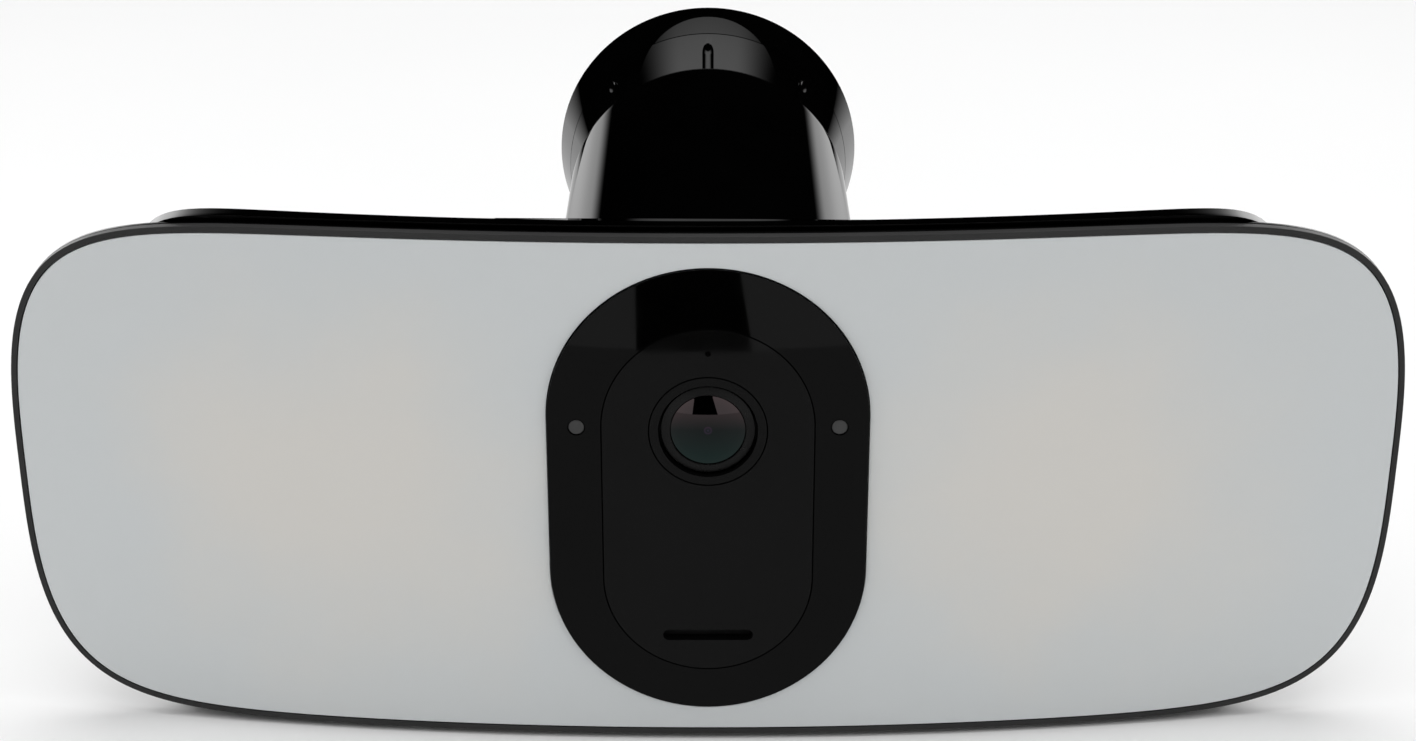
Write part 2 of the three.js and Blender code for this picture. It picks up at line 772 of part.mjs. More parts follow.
function batteryHousing() {
  const upperBay = common(neckInner, beforePlane(bulkheadDepth));
  const bay = join(upperBay, common(neckInner, belowPlane(shelfHeight)));
  const mouthFloor = abovePlane(shelfHeight + bulkheadThickness);
  const mouth = common(common(neckInner, behindPlane(mouthFront)), mouthFloor);
  const bosses = neckScrewSpots().map(({ x, z }) => {
    return disc(neckBossRadius, ahead, neckFrontDepth + 10, x, z, smallSteps);
  });
  const boreEnd = neckScrewTip + 0.5;
  const bores = neckScrewSpots().map(({ x, z }) => {
    return disc(screwRadius + gap, ahead, boreEnd, x, z, smallSteps);
  });
  const hollow = cut(neckOuter, bay, mouth);
  const bossed = join(hollow, ...bosses.map((boss) => common(boss, neckOuter)));
  const studHole = studThreadRadius + gap;
  const syncBore = -neckRadiusAt(syncDepth) + neckWall + 3;
  return cut(
    bossed,
    ...bores,
    casingCut,
    belowPlane(hatchHeight),
    disc(studHole, bulkheadDepth - 5, mouthFront + 5, 0, headDrop, mediumSteps),
    disc(releaseRadius + gap, bulkheadDepth, everywhere, 0, releaseHeight, mediumSteps),
    sidePin(syncRadius + gap, -everywhere, syncBore, syncDepth, syncHeight),
    portBlock(portFloor - gap, everywhere, portCoverWidth / 2 + gap, portCoverHeight / 2 + gap),
    portBlock(0, everywhere, socketWidth / 2 + gap, socketHeight / 2 + gap),
  );
}

const neckScrewTip = neckFrontDepth + 6;
const hatchSkirt = 2.5; // rim of the hatch above its tray
const hatchFrontWall = 1.7;
const trayThickness = 2;
const ventRadius = 5; // two holes in the tray under the battery pack
const ventOffset = 14;

function batteryHatch() {
  const top = hatchHeight - gap;
  const trayTop = top - hatchSkirt;
  const outer = cut(common(neckOuter, belowPlane(top)), casingCut);
  const hollowFront = casingCrownDepth + gap + hatchFrontWall;
  const hollow = common(common(neckInner, belowPlane(top + 1)), behindPlane(hollowFront));
  const trayLevel = block(-everywhere, everywhere, 0, everywhere, trayTop - trayThickness, trayTop);
  const tray = common(outer, trayLevel);
  const vents = [-1, 1].map((side) => {
    const vent = new THREE.CylinderGeometry(ventRadius, ventRadius, 3 * trayThickness, smallSteps);
    const y = packFrontDepth + packDepth / 2;
    return solidOf(vent.rotateX(Math.PI / 2).translate(side * ventOffset, y, trayTop - trayThickness / 2));
  });
  return cut(join(cut(outer, hollow), tray), ...vents);
}

function batteryPack() {
  const shape = new THREE.Shape();
  const corner = 3;
  const halfWidth = packWidth / 2 - corner;
  const halfDepth = packDepth / 2 - corner;
  shape.absarc(halfWidth, halfDepth, corner, 0, Math.PI / 2);
  shape.absarc(-halfWidth, halfDepth, corner, Math.PI / 2, Math.PI);
  shape.absarc(-halfWidth, -halfDepth, corner, Math.PI, (3 * Math.PI) / 2);
  shape.absarc(halfWidth, -halfDepth, corner, (3 * Math.PI) / 2, 2 * Math.PI);
  const options = { depth: packHeight, bevelEnabled: false, curveSegments: 4 };
  const extruded = new THREE.ExtrudeGeometry(shape, options);
  return solidOf(extruded.translate(0, packFrontDepth + packDepth / 2, packBottom));
}

// Block with spring contacts above the battery pack, held on the bulkhead.
function batteryContacts() {
  const tipHeight = 1.5;
  const bottom = packBottom + packHeight + gap + tipHeight;
  const back = bulkheadDepth - gap;
  const body = block(-14, 14, packFrontDepth + 4, back, bottom, bottom + 5);
  const [tipFront, tipBack] = [packFrontDepth + 8, packFrontDepth + 14];
  const tips = [-9, -3, 3, 9].map((x) => {
    return block(x - 1, x + 1, tipFront, tipBack, bottom - tipHeight, bottom + 1);
  });
  return join(body, ...tips);
}

// ---- buttons and charging port ----

// Depth of the housing's back surface at a height on its middle line.
function neckBackAt(height) {
  let near = neckFrontDepth;
  let far = neckRearDepth;
  for (let i = 0; i < 40; i++) {
    const middle = (near + far) / 2;
    if (neckBottomAt(middle) - neckRadiusAt(middle) > height) far = middle;
    else near = middle;
  }
  return near;
}

function releaseButton() {
  const back = neckBackAt(releaseHeight) + buttonProud;
  const cap = disc(releaseRadius, back - releaseLength, back, 0, releaseHeight, mediumSteps);
  const dishRadius = 20;
  const dishDepth = 0.6;
  const dish = new THREE.SphereGeometry(dishRadius, 32, 24);
  dish.translate(0, back + dishRadius - dishDepth, releaseHeight);
  return cut(cap, solidOf(dish));
}

function syncButton() {
  const outside = -neckRadiusAt(syncDepth - syncRadius) - buttonProud;
  return sidePin(syncRadius, outside, outside + syncLength, syncDepth, syncHeight);
}

// Lid with a plug that enters the socket and a thumb lip at its front edge.
function portCover() {
  const half = portCoverWidth / 2;
  const lid = portBlock(portFloor, portSurface - 0.2, half, portCoverHeight / 2);
  const plug = portBlock(portFloor - 1.6, portFloor + 0.2, plugHalfWidth, plugHalfHeight);
  const lipFront = portDepth - half;
  const [lipLow, lipHigh] = [portHeight - 4, portHeight + 4];
  const lip = block(portSurface - 0.4, portSurface + 0.8, lipFront, lipFront + 1.6, lipLow, lipHigh);
  return join(lid, plug, lip);
}

function chargeSocket() {
  const outside = portFloor - gap - 0.2;
  const body = portBlock(outside - 7, outside, socketWidth / 2, socketHeight / 2);
  const hole = portBlock(outside - 5, outside + 1, plugHalfWidth + 0.5, plugHalfHeight + 0.5);
  return cut(body, hole);
}

// ---- ball mount, in the wall's frame: y falls towards the panel ----

const ballY = -ballOffset;

// Point on a sphere about the ball's centre, at an angle from the forward mount axis.
function polar(radius, degrees) {
  const angle = radians(degrees);
  return [radius * Math.sin(angle), ballY - radius * Math.cos(angle)];
}

function wallPlate() {
  const body = disc(plateRadius, -plateThickness, 0);
  const holes = [];
  for (let i = 0; i < plateHoleCount; i++) {
    const angle = ((i + 0.5) * 2 * Math.PI) / plateHoleCount;
    holes.push([plateHoleCircle * Math.cos(angle), plateHoleCircle * Math.sin(angle), plateHoleRadius]);
  }
  baseScrewSpots().forEach(({ x, z }) => holes.push([x, z, screwRadius + gap]));
  return cut(body, ...holes.map(([x, z, radius]) => disc(radius, -beyond, beyond, x, z, smallSteps)));
}

function baseScrewSpots() {
  const spots = [];
  for (let i = 0; i < baseScrewCount; i++) {
    const angle = Math.PI / 2 + (i * 2 * Math.PI) / baseScrewCount;
    const x = baseScrewCircle * Math.cos(angle);
    spots.push({ number: i + 1, x, z: baseScrewCircle * Math.sin(angle) });
  }
  return spots;
}

const linerOuter = ballRadius + ballClearance + linerThickness;
const pocketRadius = linerOuter + ballClearance;
const pocketFloor = ballOffset - ballRadius - 0.5;
const baseFloor = plateThickness + gap;
const baseFloorThickness = 3;

function mountBase() {
  const floorFront = baseFloor + baseFloorThickness;
  const wallInside = (depth) => lerp(baseRadius, partingRadius, depth / baseDepth) - baseWall;
  const shell = turned([
    [baseRadius, 0],
    [partingRadius, -baseDepth],
    [partingRadius - baseWall, -baseDepth],
    [wallInside(floorFront), -floorFront],
    [bossRadius, -floorFront],
    [bossRadius, -bossFront],
    [0, -bossFront],
    [0, -baseFloor],
    [plateRadius + gap, -baseFloor],
    [plateRadius + gap, 0],
    [baseRadius, 0],
  ]);
  const pocket = common(ball(pocketRadius, ballY, 0), beforePlane(-pocketFloor));
  const screws = baseScrewSpots().flatMap(({ x, z }) => [
    disc(screwRadius + gap, -beyond, 0, x, z, smallSteps),
    disc(screwHeadRadius + gap, -beyond, -baseScrewSeat + gap, x, z, smallSteps),
  ]);
  return cut(shell, pocket, ...screws);
}

const baseScrewSeat = baseFloor + 4;

function lockRing() {
  const rear = baseDepth + gap;
  const shareAt = (depth) => (depth - baseDepth) / (ringFront - baseDepth);
  const outerAt = (depth) => lerp(partingRadius, ringFrontRadius, shareAt(depth));
  const lipSteps = 6;
  const lip = [];
  for (let i = 0; i <= lipSteps; i++) lip.push(polar(pocketRadius, lerp(90, mouthAngle, i / lipSteps)));
  const mouthRadius = (ringFront - ballOffset) * Math.tan(radians(mouthAngle));
  const blank = turned(
    [
      [outerAt(rear), -rear],
      [outerAt(ringFront), -ringFront],
      [mouthRadius, -ringFront],
      ...lip.reverse(),
      [bossRadius + threadClearance, ballY],
      [bossRadius + threadClearance, -rear],
      [outerAt(rear), -rear],
    ],
    ringSteps,
  );
  const slope = Math.atan2(partingRadius - ringFrontRadius, ringFront - baseDepth);
  const overrun = 8; // flutes run out through the ring's front
  const length = ringFront - fluteStart + overrun;
  const flutes = [];
  for (let i = 0; i < fluteCount; i++) {
    const flute = new THREE.CapsuleGeometry(fluteRadius, length, 3, 8);
    flute.translate(0, -length / 2, 0).rotateX(slope);
    const start = fluteStart + fluteRadius;
    flute.translate(0, -start, outerAt(start) + fluteRadius - fluteDepth);
    flutes.push(solidOf(flute.rotateY((i * 2 * Math.PI) / fluteCount)));
  }
  return cut(blank, ...flutes);
}

function socketLiner() {
  const profile = [];
  const steps = 6;
  const inner = ballRadius + ballClearance;
  const angleAt = (i) => lerp(linerFrontAngle, linerRearAngle, i / steps);
  for (let i = 0; i <= steps; i++) profile.push(polar(linerOuter, angleAt(i)));
  for (let i = steps; i >= 0; i--) profile.push(polar(inner, angleAt(i)));
  profile.push(profile[0]);
  return turned(profile);
}

const bulkheadRearY = -reach + mouthFront;

function ballStud() {
  const thread = bulkheadRearY - bulkheadThickness - nutThickness - 1.5;
  const stemAngle = THREE.MathUtils.radToDeg(Math.asin(studRadius / ballRadius));
  const flangeRadius = studRadius + 4;
  const round = [];
  const steps = 12;
  for (let i = 0; i <= steps; i++) round.push(polar(ballRadius, lerp(180, stemAngle, i / steps)));
  round[0][0] = 0;
  return turned([
    ...round,
    [studRadius, ballY - ballRadius - 4],
    [flangeRadius, bulkheadRearY + 3],
    [flangeRadius, bulkheadRearY + gap],
    [studThreadRadius, bulkheadRearY + gap],
    [studThreadRadius, thread],
    [0, thread],
  ]);
}

function studNut() {
  const hexagon = new THREE.Shape();
  const radius = nutAcrossFlats / 2 / Math.cos(Math.PI / 6);
  for (let i = 0; i < 6; i++) {
    const angle = (i * Math.PI) / 3;
    hexagon[i ? "lineTo" : "moveTo"](radius * Math.cos(angle), radius * Math.sin(angle));
  }
  const back = bulkheadRearY - bulkheadThickness - gap;
  const body = plate(hexagon, back - nutThickness, back);
  return cut(body, disc(studThreadRadius + gap, -reach, 0, 0, 0, mediumSteps));
}

// ---- finishes ----

const finish = (color, roughness, metalness = 0) => ({ color, roughness, metalness });
const glossBlack = finish(0x0b0b0c, 0.12);
const satinBlack = finish(0x151516, 0.35);
const darkGrey = finish(0x323334, 0.4);
const milkWhite = finish(0xc2c6c4, 0.45);
const smokeGlass = finish(0x0e1c1c, 0.03);
const circuitGreen = finish(0x1d4a30, 0.5);
const plainWhite = finish(0xe8e8e4, 0.6);
const bareAluminium = finish(0xa8abad, 0.35, 1);
const steel = finish(0x8e9092, 0.3, 1);
const softRubber = finish(0x1a1a1b, 0.8);
const blackPlastic = finish(0x1c1c1d, 0.5);
const brass = finish(0xb08d4a, 0.3, 1);

const camera = new THREE.Group();
const head = new THREE.Group();
head.position.set(0, -reach, -headDrop);
const wallSide = new THREE.Group();
camera.add(head, wallSide);

function place(group, name, solid, look) {
  const mesh = new THREE.Mesh(geometryOf(solid), new THREE.MeshStandardMaterial(look));
  mesh.name = name;
  group.add(mesh);
}

place(wallSide, "wall_plate", wallPlate(), steel);
place(wallSide, "mount_base", mountBase(), glossBlack);
baseScrewSpots().forEach(({ number, x, z }) => {
  place(wallSide, `base_screw_${number}`, screw(x, z, -gap, -baseScrewSeat, -1), steel);
});
place(wallSide, "lock_ring", lockRing(), glossBlack);
place(wallSide, "socket_liner", socketLiner(), blackPlastic);
place(wallSide, "ball_stud", ballStud(), steel);
place(wallSide, "stud_nut", studNut(), steel);

place(head, "light_frame", lightFrame(), glossBlack);
place(head, "front_trim", frontTrim(), darkGrey);
place(head, "light_diffuser", lightDiffuser(), milkWhite);
place(head, "rear_shell", rearShell(), glossBlack);
screwSpots().forEach(({ number, x, z }) => {
  const tip = shellScrewTip + sweep(x, panelBendRadius);
  const seat = shellScrewSeat + sweep(x, casingBendRadius) - screwHeadHeight + gap;
  place(head, `shell_screw_${number}`, screw(x, z, tip, seat, 1), steel);
});
neckScrewSpots().forEach(({ number, x, z }) => {
  place(head, `neck_screw_${number}`, screw(x, z, neckScrewTip, neckScrewSeat - gap, -1), steel);
});

place(head, "capsule_cover", capsuleCover(), glossBlack);
place(head, "face_plate", facePlate(), satinBlack);
place(head, "lens_ring", lensRing(), satinBlack);
place(head, "lens_barrel", lensBarrel(), satinBlack);
place(head, "lens_glass", lensGlass(), smokeGlass);
place(head, "lens_holder", lensHolder(), blackPlastic);
place(head, "sensor_board", sensorBoard(), circuitGreen);
place(head, "microphone", microphone(), steel);
place(head, "motion_sensor", motionSensor(), steel);
place(head, "speaker_mesh", speakerMesh(), blackPlastic);
place(head, "speaker_driver", speakerDriver(), blackPlastic);
place(head, "camera_tub", cameraTub(), blackPlastic);
place(head, "main_board", mainBoard(), circuitGreen);
place(head, "shield_can", shieldCan(), steel);
[
  ["left", -1],
  ["right", 1],
].forEach(([word, side]) => {
  place(head, `status_window_${word}`, statusWindow(side), darkGrey);
  place(head, `infrared_lamp_${word}`, infraredLamp(side), blackPlastic);
  place(head, `light_board_${word}`, lightBoard(side), plainWhite);
  place(head, `heat_spreader_${word}`, heatSpreader(side), bareAluminium);
  place(head, `light_reflector_${word}`, lightReflector(side), plainWhite);
  place(head, `antenna_${word}`, antenna(side), brass);
});

place(head, "battery_housing", batteryHousing(), glossBlack);
place(head, "battery_hatch", batteryHatch(), glossBlack);
place(head, "battery_pack", batteryPack(), blackPlastic);
place(head, "battery_contacts", batteryContacts(), brass);
place(head, "release_button", releaseButton(), satinBlack);
place(head, "sync_button", syncButton(), satinBlack);
place(head, "port_cover", portCover(), softRubber);
place(head, "charge_socket", chargeSocket(), blackPlastic);

export default camera;
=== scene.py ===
# Floodlight security camera: light panel, camera capsule, battery housing and ball mount.
# Head pieces are drawn in millimetres in the head's own frame (x, depth behind the panel's front, height
# above its middle), and mount pieces in millimetres from the wall, then both are moved onto the frame.
import bmesh
import bpy
import json
import math
from mathutils import Matrix, Vector

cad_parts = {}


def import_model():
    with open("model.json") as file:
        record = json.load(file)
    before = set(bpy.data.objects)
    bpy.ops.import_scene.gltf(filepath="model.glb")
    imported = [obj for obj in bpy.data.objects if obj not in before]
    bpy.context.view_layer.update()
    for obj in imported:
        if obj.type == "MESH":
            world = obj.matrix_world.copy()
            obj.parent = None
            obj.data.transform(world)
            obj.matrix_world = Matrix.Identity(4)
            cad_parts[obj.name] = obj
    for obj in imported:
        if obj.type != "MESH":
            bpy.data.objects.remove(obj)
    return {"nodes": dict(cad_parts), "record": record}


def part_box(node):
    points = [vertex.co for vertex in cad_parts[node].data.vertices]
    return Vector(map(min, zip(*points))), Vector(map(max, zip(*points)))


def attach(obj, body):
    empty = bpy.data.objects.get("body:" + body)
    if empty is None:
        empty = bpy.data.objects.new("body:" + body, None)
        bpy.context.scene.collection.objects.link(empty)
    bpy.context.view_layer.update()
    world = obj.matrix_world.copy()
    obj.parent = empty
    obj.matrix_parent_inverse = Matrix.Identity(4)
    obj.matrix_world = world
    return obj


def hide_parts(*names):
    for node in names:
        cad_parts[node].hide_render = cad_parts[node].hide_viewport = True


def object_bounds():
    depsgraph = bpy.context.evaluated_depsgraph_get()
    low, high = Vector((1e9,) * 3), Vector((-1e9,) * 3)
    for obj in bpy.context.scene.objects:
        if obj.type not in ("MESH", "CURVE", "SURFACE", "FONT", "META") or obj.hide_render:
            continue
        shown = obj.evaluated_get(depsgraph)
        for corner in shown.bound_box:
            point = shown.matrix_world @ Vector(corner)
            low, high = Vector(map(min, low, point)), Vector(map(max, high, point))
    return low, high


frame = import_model()
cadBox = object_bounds()
bodies = frame["record"]["behaviour"]["bodies"]
bodyOf = {node: body for body, nodes in bodies.items() for node in nodes}

mm = 0.001
gap = 0.3  # between neighbouring pieces, in millimetres
beyond = 190  # how far a cutter reaches past the part
frameLow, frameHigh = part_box("light_frame")
headOrigin = Vector((0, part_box("front_trim")[0].y, (frameLow.z + frameHigh.z) / 2))
wallOrigin = Vector((0, 0, 0))


def spanOf(node):
    low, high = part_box(node)
    return (high - low) / mm


def spotOf(node, origin):
    low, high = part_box(node)
    return ((low + high) / 2 - origin) / mm


def lerp(a, b, share):
    return a + (b - a) * share


# Materials

def addNode(tree, kind, **values):
    node = tree.nodes.new(kind)
    for key, value in values.items():
        setattr(node, key, value)
    return node


def newMaterial(name):
    material = bpy.data.materials.new(name)
    material.use_nodes = True
    tree = material.node_tree
    shader = tree.nodes["Principled BSDF"]
    coords = addNode(tree, "ShaderNodeTexCoord")
    return material, tree, shader, coords.outputs["Object"]


def noiseOn(tree, coords, scale, detail=3, stretch=None):
    if stretch:
        mapping = addNode(tree, "ShaderNodeMapping")
        mapping.inputs["Scale"].default_value = stretch
        tree.links.new(coords, mapping.inputs["Vector"])
        coords = mapping.outputs["Vector"]
    noise = addNode(tree, "ShaderNodeTexNoise")
    noise.inputs["Scale"].default_value = scale
    noise.inputs["Detail"].default_value = detail
    tree.links.new(coords, noise.inputs["Vector"])
    return noise.outputs["Fac"]


# The parts of a vector, and how far it is to either side.
def splitOn(tree, vector):
    split = addNode(tree, "ShaderNodeSeparateXYZ")
    tree.links.new(vector, split.inputs["Vector"])
    side = addNode(tree, "ShaderNodeMath", operation="ABSOLUTE")
    tree.links.new(split.outputs["X"], side.inputs[0])
    return split.outputs, side.outputs["Value"]


def rampOn(tree, source, stops):
    ramp = addNode(tree, "ShaderNodeValToRGB")
    elements = ramp.color_ramp.elements
    while len(elements) < len(stops):
        elements.new(0.5)
    for element, (place, colour) in zip(elements, stops):
        element.position = place
        element.color = (*colour, 1)
    tree.links.new(source, ramp.inputs["Fac"])
    return ramp.outputs["Color"]


def rangeOn(tree, source, low, high, fromLow=0.3, fromHigh=0.7):
    span = addNode(tree, "ShaderNodeMapRange")
    span.inputs["From Min"].default_value = fromLow
    span.inputs["From Max"].default_value = fromHigh
    span.inputs["To Min"].default_value = low
    span.inputs["To Max"].default_value = high
    tree.links.new(source, span.inputs["Value"])
    return span.outputs["Result"]


def bumpOn(tree, source, strength, distance):
    bump = addNode(tree, "ShaderNodeBump")
    bump.inputs["Strength"].default_value = strength
    bump.inputs["Distance"].default_value = distance
    tree.links.new(source, bump.inputs["Height"])
    return bump.outputs["Normal"]


# A moulded or brushed finish: colours drift slowly, roughness at a middle scale, and a fine grain in relief.
grain = {"drift": 30, "patches": 140, "fine": 2500}


def plainFinish(name, dark, light, rough, relief=0.1, depth=2e-5, metallic=0, stretch=None):
    material, tree, shader, coords = newMaterial(name)
    tone = noiseOn(tree, coords, grain["drift"], 4, stretch)
    tree.links.new(rampOn(tree, tone, [(0.35, dark), (0.65, light)]), shader.inputs["Base Color"])
    sheen = noiseOn(tree, coords, grain["patches"], 5, stretch)
    tree.links.new(rangeOn(tree, sheen, *rough), shader.inputs["Roughness"])
    fine = noiseOn(tree, coords, grain["fine"], 2, stretch)
    tree.links.new(bumpOn(tree, fine, relief, depth), shader.inputs["Normal"])
    shader.inputs["Metallic"].default_value = metallic
    return material


def greys(value, warm=0.0):
    return (value * (1 + warm), value, value * (1 - warm))


finishes = {
    "gloss_black": plainFinish("glossBlack", greys(0.0003), greys(0.0006), (0.02, 0.035),
                               relief=0.05, depth=4e-6),
    "face_black": plainFinish("faceBlack", greys(0.0024), greys(0.0030), (0.03, 0.06),
                              relief=0.06, depth=4e-6),
    "lens_black": plainFinish("lensBlack", greys(0.0065), greys(0.008), (0.24, 0.3)),
    "trim_grey": plainFinish("trimGrey", greys(0.030), greys(0.036), (0.34, 0.42), relief=0.25),
    "window_grey": plainFinish("windowGrey", greys(0.05), greys(0.06), (0.12, 0.2), relief=0.05),
    "button_black": plainFinish("buttonBlack", greys(0.006), greys(0.009), (0.3, 0.4), relief=0.35),
    "inner_black": plainFinish("innerBlack", greys(0.010), greys(0.015), (0.45, 0.6), relief=0.4),
    "inner_white": plainFinish("innerWhite", greys(0.72, 0.01), greys(0.8, 0.01), (0.5, 0.65),
                               relief=0.3),
    "port_rubber": plainFinish("portRubber", greys(0.010), greys(0.014), (0.6, 0.75),
                               relief=0.5, depth=4e-5),
    "steel": plainFinish("zincSteel", greys(0.42, 0.01), greys(0.5, 0.01), (0.24, 0.38),
                         relief=0.3, metallic=1),
    "aluminium": plainFinish("rolledAluminium", greys(0.6), greys(0.68), (0.3, 0.42),
                             relief=0.4, metallic=1, stretch=(1, 1, 0.06)),
    "contact_brass": plainFinish("contactBrass", (0.5, 0.34, 0.12), (0.6, 0.43, 0.17), (0.2, 0.34),
                                 metallic=1),
}


# Milky light diffuser: a cool white, with a painted warm glow in its colour over the boards behind the middle of
# each half.
def diffuserFinish():
    look = {"cool": (0.635, 0.66, 0.667), "warm": (0.70, 0.682, 0.647), "reach": 0.078, "core": 0.01,
            "cloud": 0.012}
    material, tree, shader, coords = newMaterial("milkDiffuser")
    centre = spotOf("light_board_left", Vector((0, 0, 0))) * mm
    parts, side = splitOn(tree, coords)
    wide = addNode(tree, "ShaderNodeMath", operation="SUBTRACT")
    wide.inputs[1].default_value = abs(centre.x)
    tree.links.new(side, wide.inputs[0])
    tall = addNode(tree, "ShaderNodeMath", operation="SUBTRACT")
    tall.inputs[1].default_value = centre.z
    tree.links.new(parts["Z"], tall.inputs[0])
    both = addNode(tree, "ShaderNodeCombineXYZ")
    tree.links.new(wide.outputs["Value"], both.inputs["X"])
    tree.links.new(tall.outputs["Value"], both.inputs["Z"])
    far = addNode(tree, "ShaderNodeVectorMath", operation="LENGTH")
    tree.links.new(both.outputs["Vector"], far.inputs[0])
    cloud = rangeOn(tree, noiseOn(tree, coords, 26, 3), -look["cloud"], look["cloud"])
    blurred = addNode(tree, "ShaderNodeMath", operation="ADD")
    tree.links.new(far.outputs["Value"], blurred.inputs[0])
    tree.links.new(cloud, blurred.inputs[1])
    # Painted glow: the colour turns warm towards the middle of each light board, as if lit from behind.
    glow = addNode(tree, "ShaderNodeMapRange", interpolation_type="SMOOTHSTEP")
    glow.inputs["From Min"].default_value = look["reach"]
    glow.inputs["From Max"].default_value = look["core"]
    tree.links.new(blurred.outputs["Value"], glow.inputs["Value"])
    tone = rampOn(tree, glow.outputs["Result"], [(0, look["cool"]), (1, look["warm"])])
    tree.links.new(tone, shader.inputs["Base Color"])
    tree.links.new(rangeOn(tree, noiseOn(tree, coords, 300, 4), 0.5, 0.62), shader.inputs["Roughness"])
    tree.links.new(bumpOn(tree, noiseOn(tree, coords, 3800, 2), 0.18, 2e-5), shader.inputs["Normal"])
    shader.inputs["Specular IOR Level"].default_value = 0.25
    return material


# Coated lens glass: the coating tints what it mirrors, and its colour holds a painted reflection, rose high up
# and green low down, with a painted highlight of bright rings, an eye in the middle.
def lensFinish():
    look = {"low": (0.075, 0.125, 0.118), "middle": (0.085, 0.1, 0.1), "high": (0.19, 0.155, 0.16),
            "radius": 0.0095}
    material, tree, shader, coords = newMaterial("coatedGlass")
    mapping = addNode(tree, "ShaderNodeMapping", vector_type="POINT")
    mapping.inputs["Location"].default_value = -spotOf("lens_glass", Vector((0, 0, 0))) * mm
    tree.links.new(coords, mapping.inputs["Vector"])
    split = addNode(tree, "ShaderNodeSeparateXYZ")
    tree.links.new(mapping.outputs["Vector"], split.inputs["Vector"])
    # Painted reflection: the tint changes with height on the glass, rose above and green below.
    height = rangeOn(tree, split.outputs["Z"], 0, 1, -look["radius"], look["radius"])
    tone = rampOn(tree, height, [(0.1, look["low"]), (0.5, look["middle"]), (0.72, look["high"])])
    flat = addNode(tree, "ShaderNodeVectorMath", operation="MULTIPLY")
    flat.inputs[1].default_value = (1, 0, 1)
    tree.links.new(mapping.outputs["Vector"], flat.inputs[0])
    far = addNode(tree, "ShaderNodeVectorMath", operation="LENGTH")
    tree.links.new(flat.outputs["Vector"], far.inputs[0])
    # Painted highlight: bright coloured rings in the middle of the glass, multiplied into its colour.
    rings = rampOn(tree, rangeOn(tree, far.outputs["Value"], 0, 1, 0, look["radius"]), [
        (0.0, (2.2, 1.5, 2.6)), (0.05, (0.8, 0.9, 0.9)), (0.09, (1.9, 1.2, 1.9)),
        (0.13, (0.85, 0.85, 0.85)), (0.8, (1, 1, 1)), (1.0, (1.15, 1.1, 1.1)),
    ])
    mixed = addNode(tree, "ShaderNodeMix", data_type="RGBA", blend_type="MULTIPLY")
    mixed.inputs["Factor"].default_value = 1
    tree.links.new(tone, mixed.inputs[6])
    tree.links.new(rings, mixed.inputs[7])
    tree.links.new(mixed.outputs[2], shader.inputs["Base Color"])
    tree.links.new(rangeOn(tree, noiseOn(tree, coords, 200, 2), 0.01, 0.02), shader.inputs["Roughness"])
    shader.inputs["Metallic"].default_value = 1
    return material


# Green solder mask over brighter tracks.
def boardFinish():
    material, tree, shader, coords = newMaterial("solderMask")
    tracks = addNode(tree, "ShaderNodeTexVoronoi", feature="DISTANCE_TO_EDGE", distance="MANHATTAN")
    tracks.inputs["Scale"].default_value = 420
    tree.links.new(coords, tracks.inputs["Vector"])
    copper, mask = (0.02, 0.12, 0.05), (0.008, 0.055, 0.024)
    tone = rampOn(tree, tracks.outputs["Distance"], [(0.03, copper), (0.09, mask)])
    tree.links.new(tone, shader.inputs["Base Color"])
    tree.links.new(rangeOn(tree, noiseOn(tree, coords, 150, 4), 0.25, 0.4), shader.inputs["Roughness"])
    tree.links.new(bumpOn(tree, tracks.outputs["Distance"], 0.3, 3e-5), shader.inputs["Normal"])
    return material


finishes["diffuser_white"] = diffuserFinish()
finishes["lens_glass"] = lensFinish()
finishes["circuit_green"] = boardFinish()
slotNodes = {
    "gloss_black": ("light_frame", "rear_shell", "capsule_cover", "battery_housing", "battery_hatch",
                    "lock_ring", "mount_base"),
    "trim_grey": ("front_trim",),
    "diffuser_white": ("light_diffuser",),
    "face_black": ("face_plate", "lens_ring"),
    "lens_black": ("lens_barrel",),
    "lens_glass": ("lens_glass",),
    "window_grey": ("status_window",),
    "button_black": ("release_button", "sync_button"),
    "port_rubber": ("port_cover",),
    "steel": ("wall_plate", "ball_stud", "shell_screw", "neck_screw", "base_screw", "stud_nut",
              "shield_can", "motion_sensor", "microphone"),
    "circuit_green": ("sensor_board", "main_board"),
    "inner_white": ("light_board", "light_reflector"),
    "aluminium": ("heat_spreader",),
    "contact_brass": ("antenna", "battery_contacts"),
}


def slotOf(node):
    for slotName, words in slotNodes.items():
        if node.startswith(words):
            return slotName
    return "inner_black"


for node, piece in frame["nodes"].items():
    piece.data.materials.clear()
    piece.data.materials.append(finishes[slotOf(node)])
print("materials:", len(finishes))


# Shapes

def evenOutline(halfWidth, halfHeight, sidePower, topPower, count):
    fine = 6000
    dots = []
    for i in range(fine + 1):
        c, s = math.cos(2 * math.pi * i / fine), math.sin(2 * math.pi * i / fine)
        x = halfWidth * math.copysign(abs(c) ** (2 / sidePower), c)
        z = halfHeight * math.copysign(abs(s) ** (2 / topPower), s)
        dots.append(Vector((x, z)))
    run = [0.0]
    for a, b in zip(dots, dots[1:]):
        run.append(run[-1] + (b - a).length)
    found, i = [], 0
    for k in range(count):
        target = run[-1] * k / count
        while run[i + 1] < target:
            i += 1
        found.append(dots[i].lerp(dots[i + 1], (target - run[i]) / max(run[i + 1] - run[i], 1e-9)))
    return found


def insetOutline(dots, inset):
    moved = []
    for i, dot in enumerate(dots):
        along = (dots[(i + 1) % len(dots)] - dots[i - 1]).normalized()
        moved.append(Vector((dot.x - along.y * inset, dot.y + along.x * inset)))
    return moved


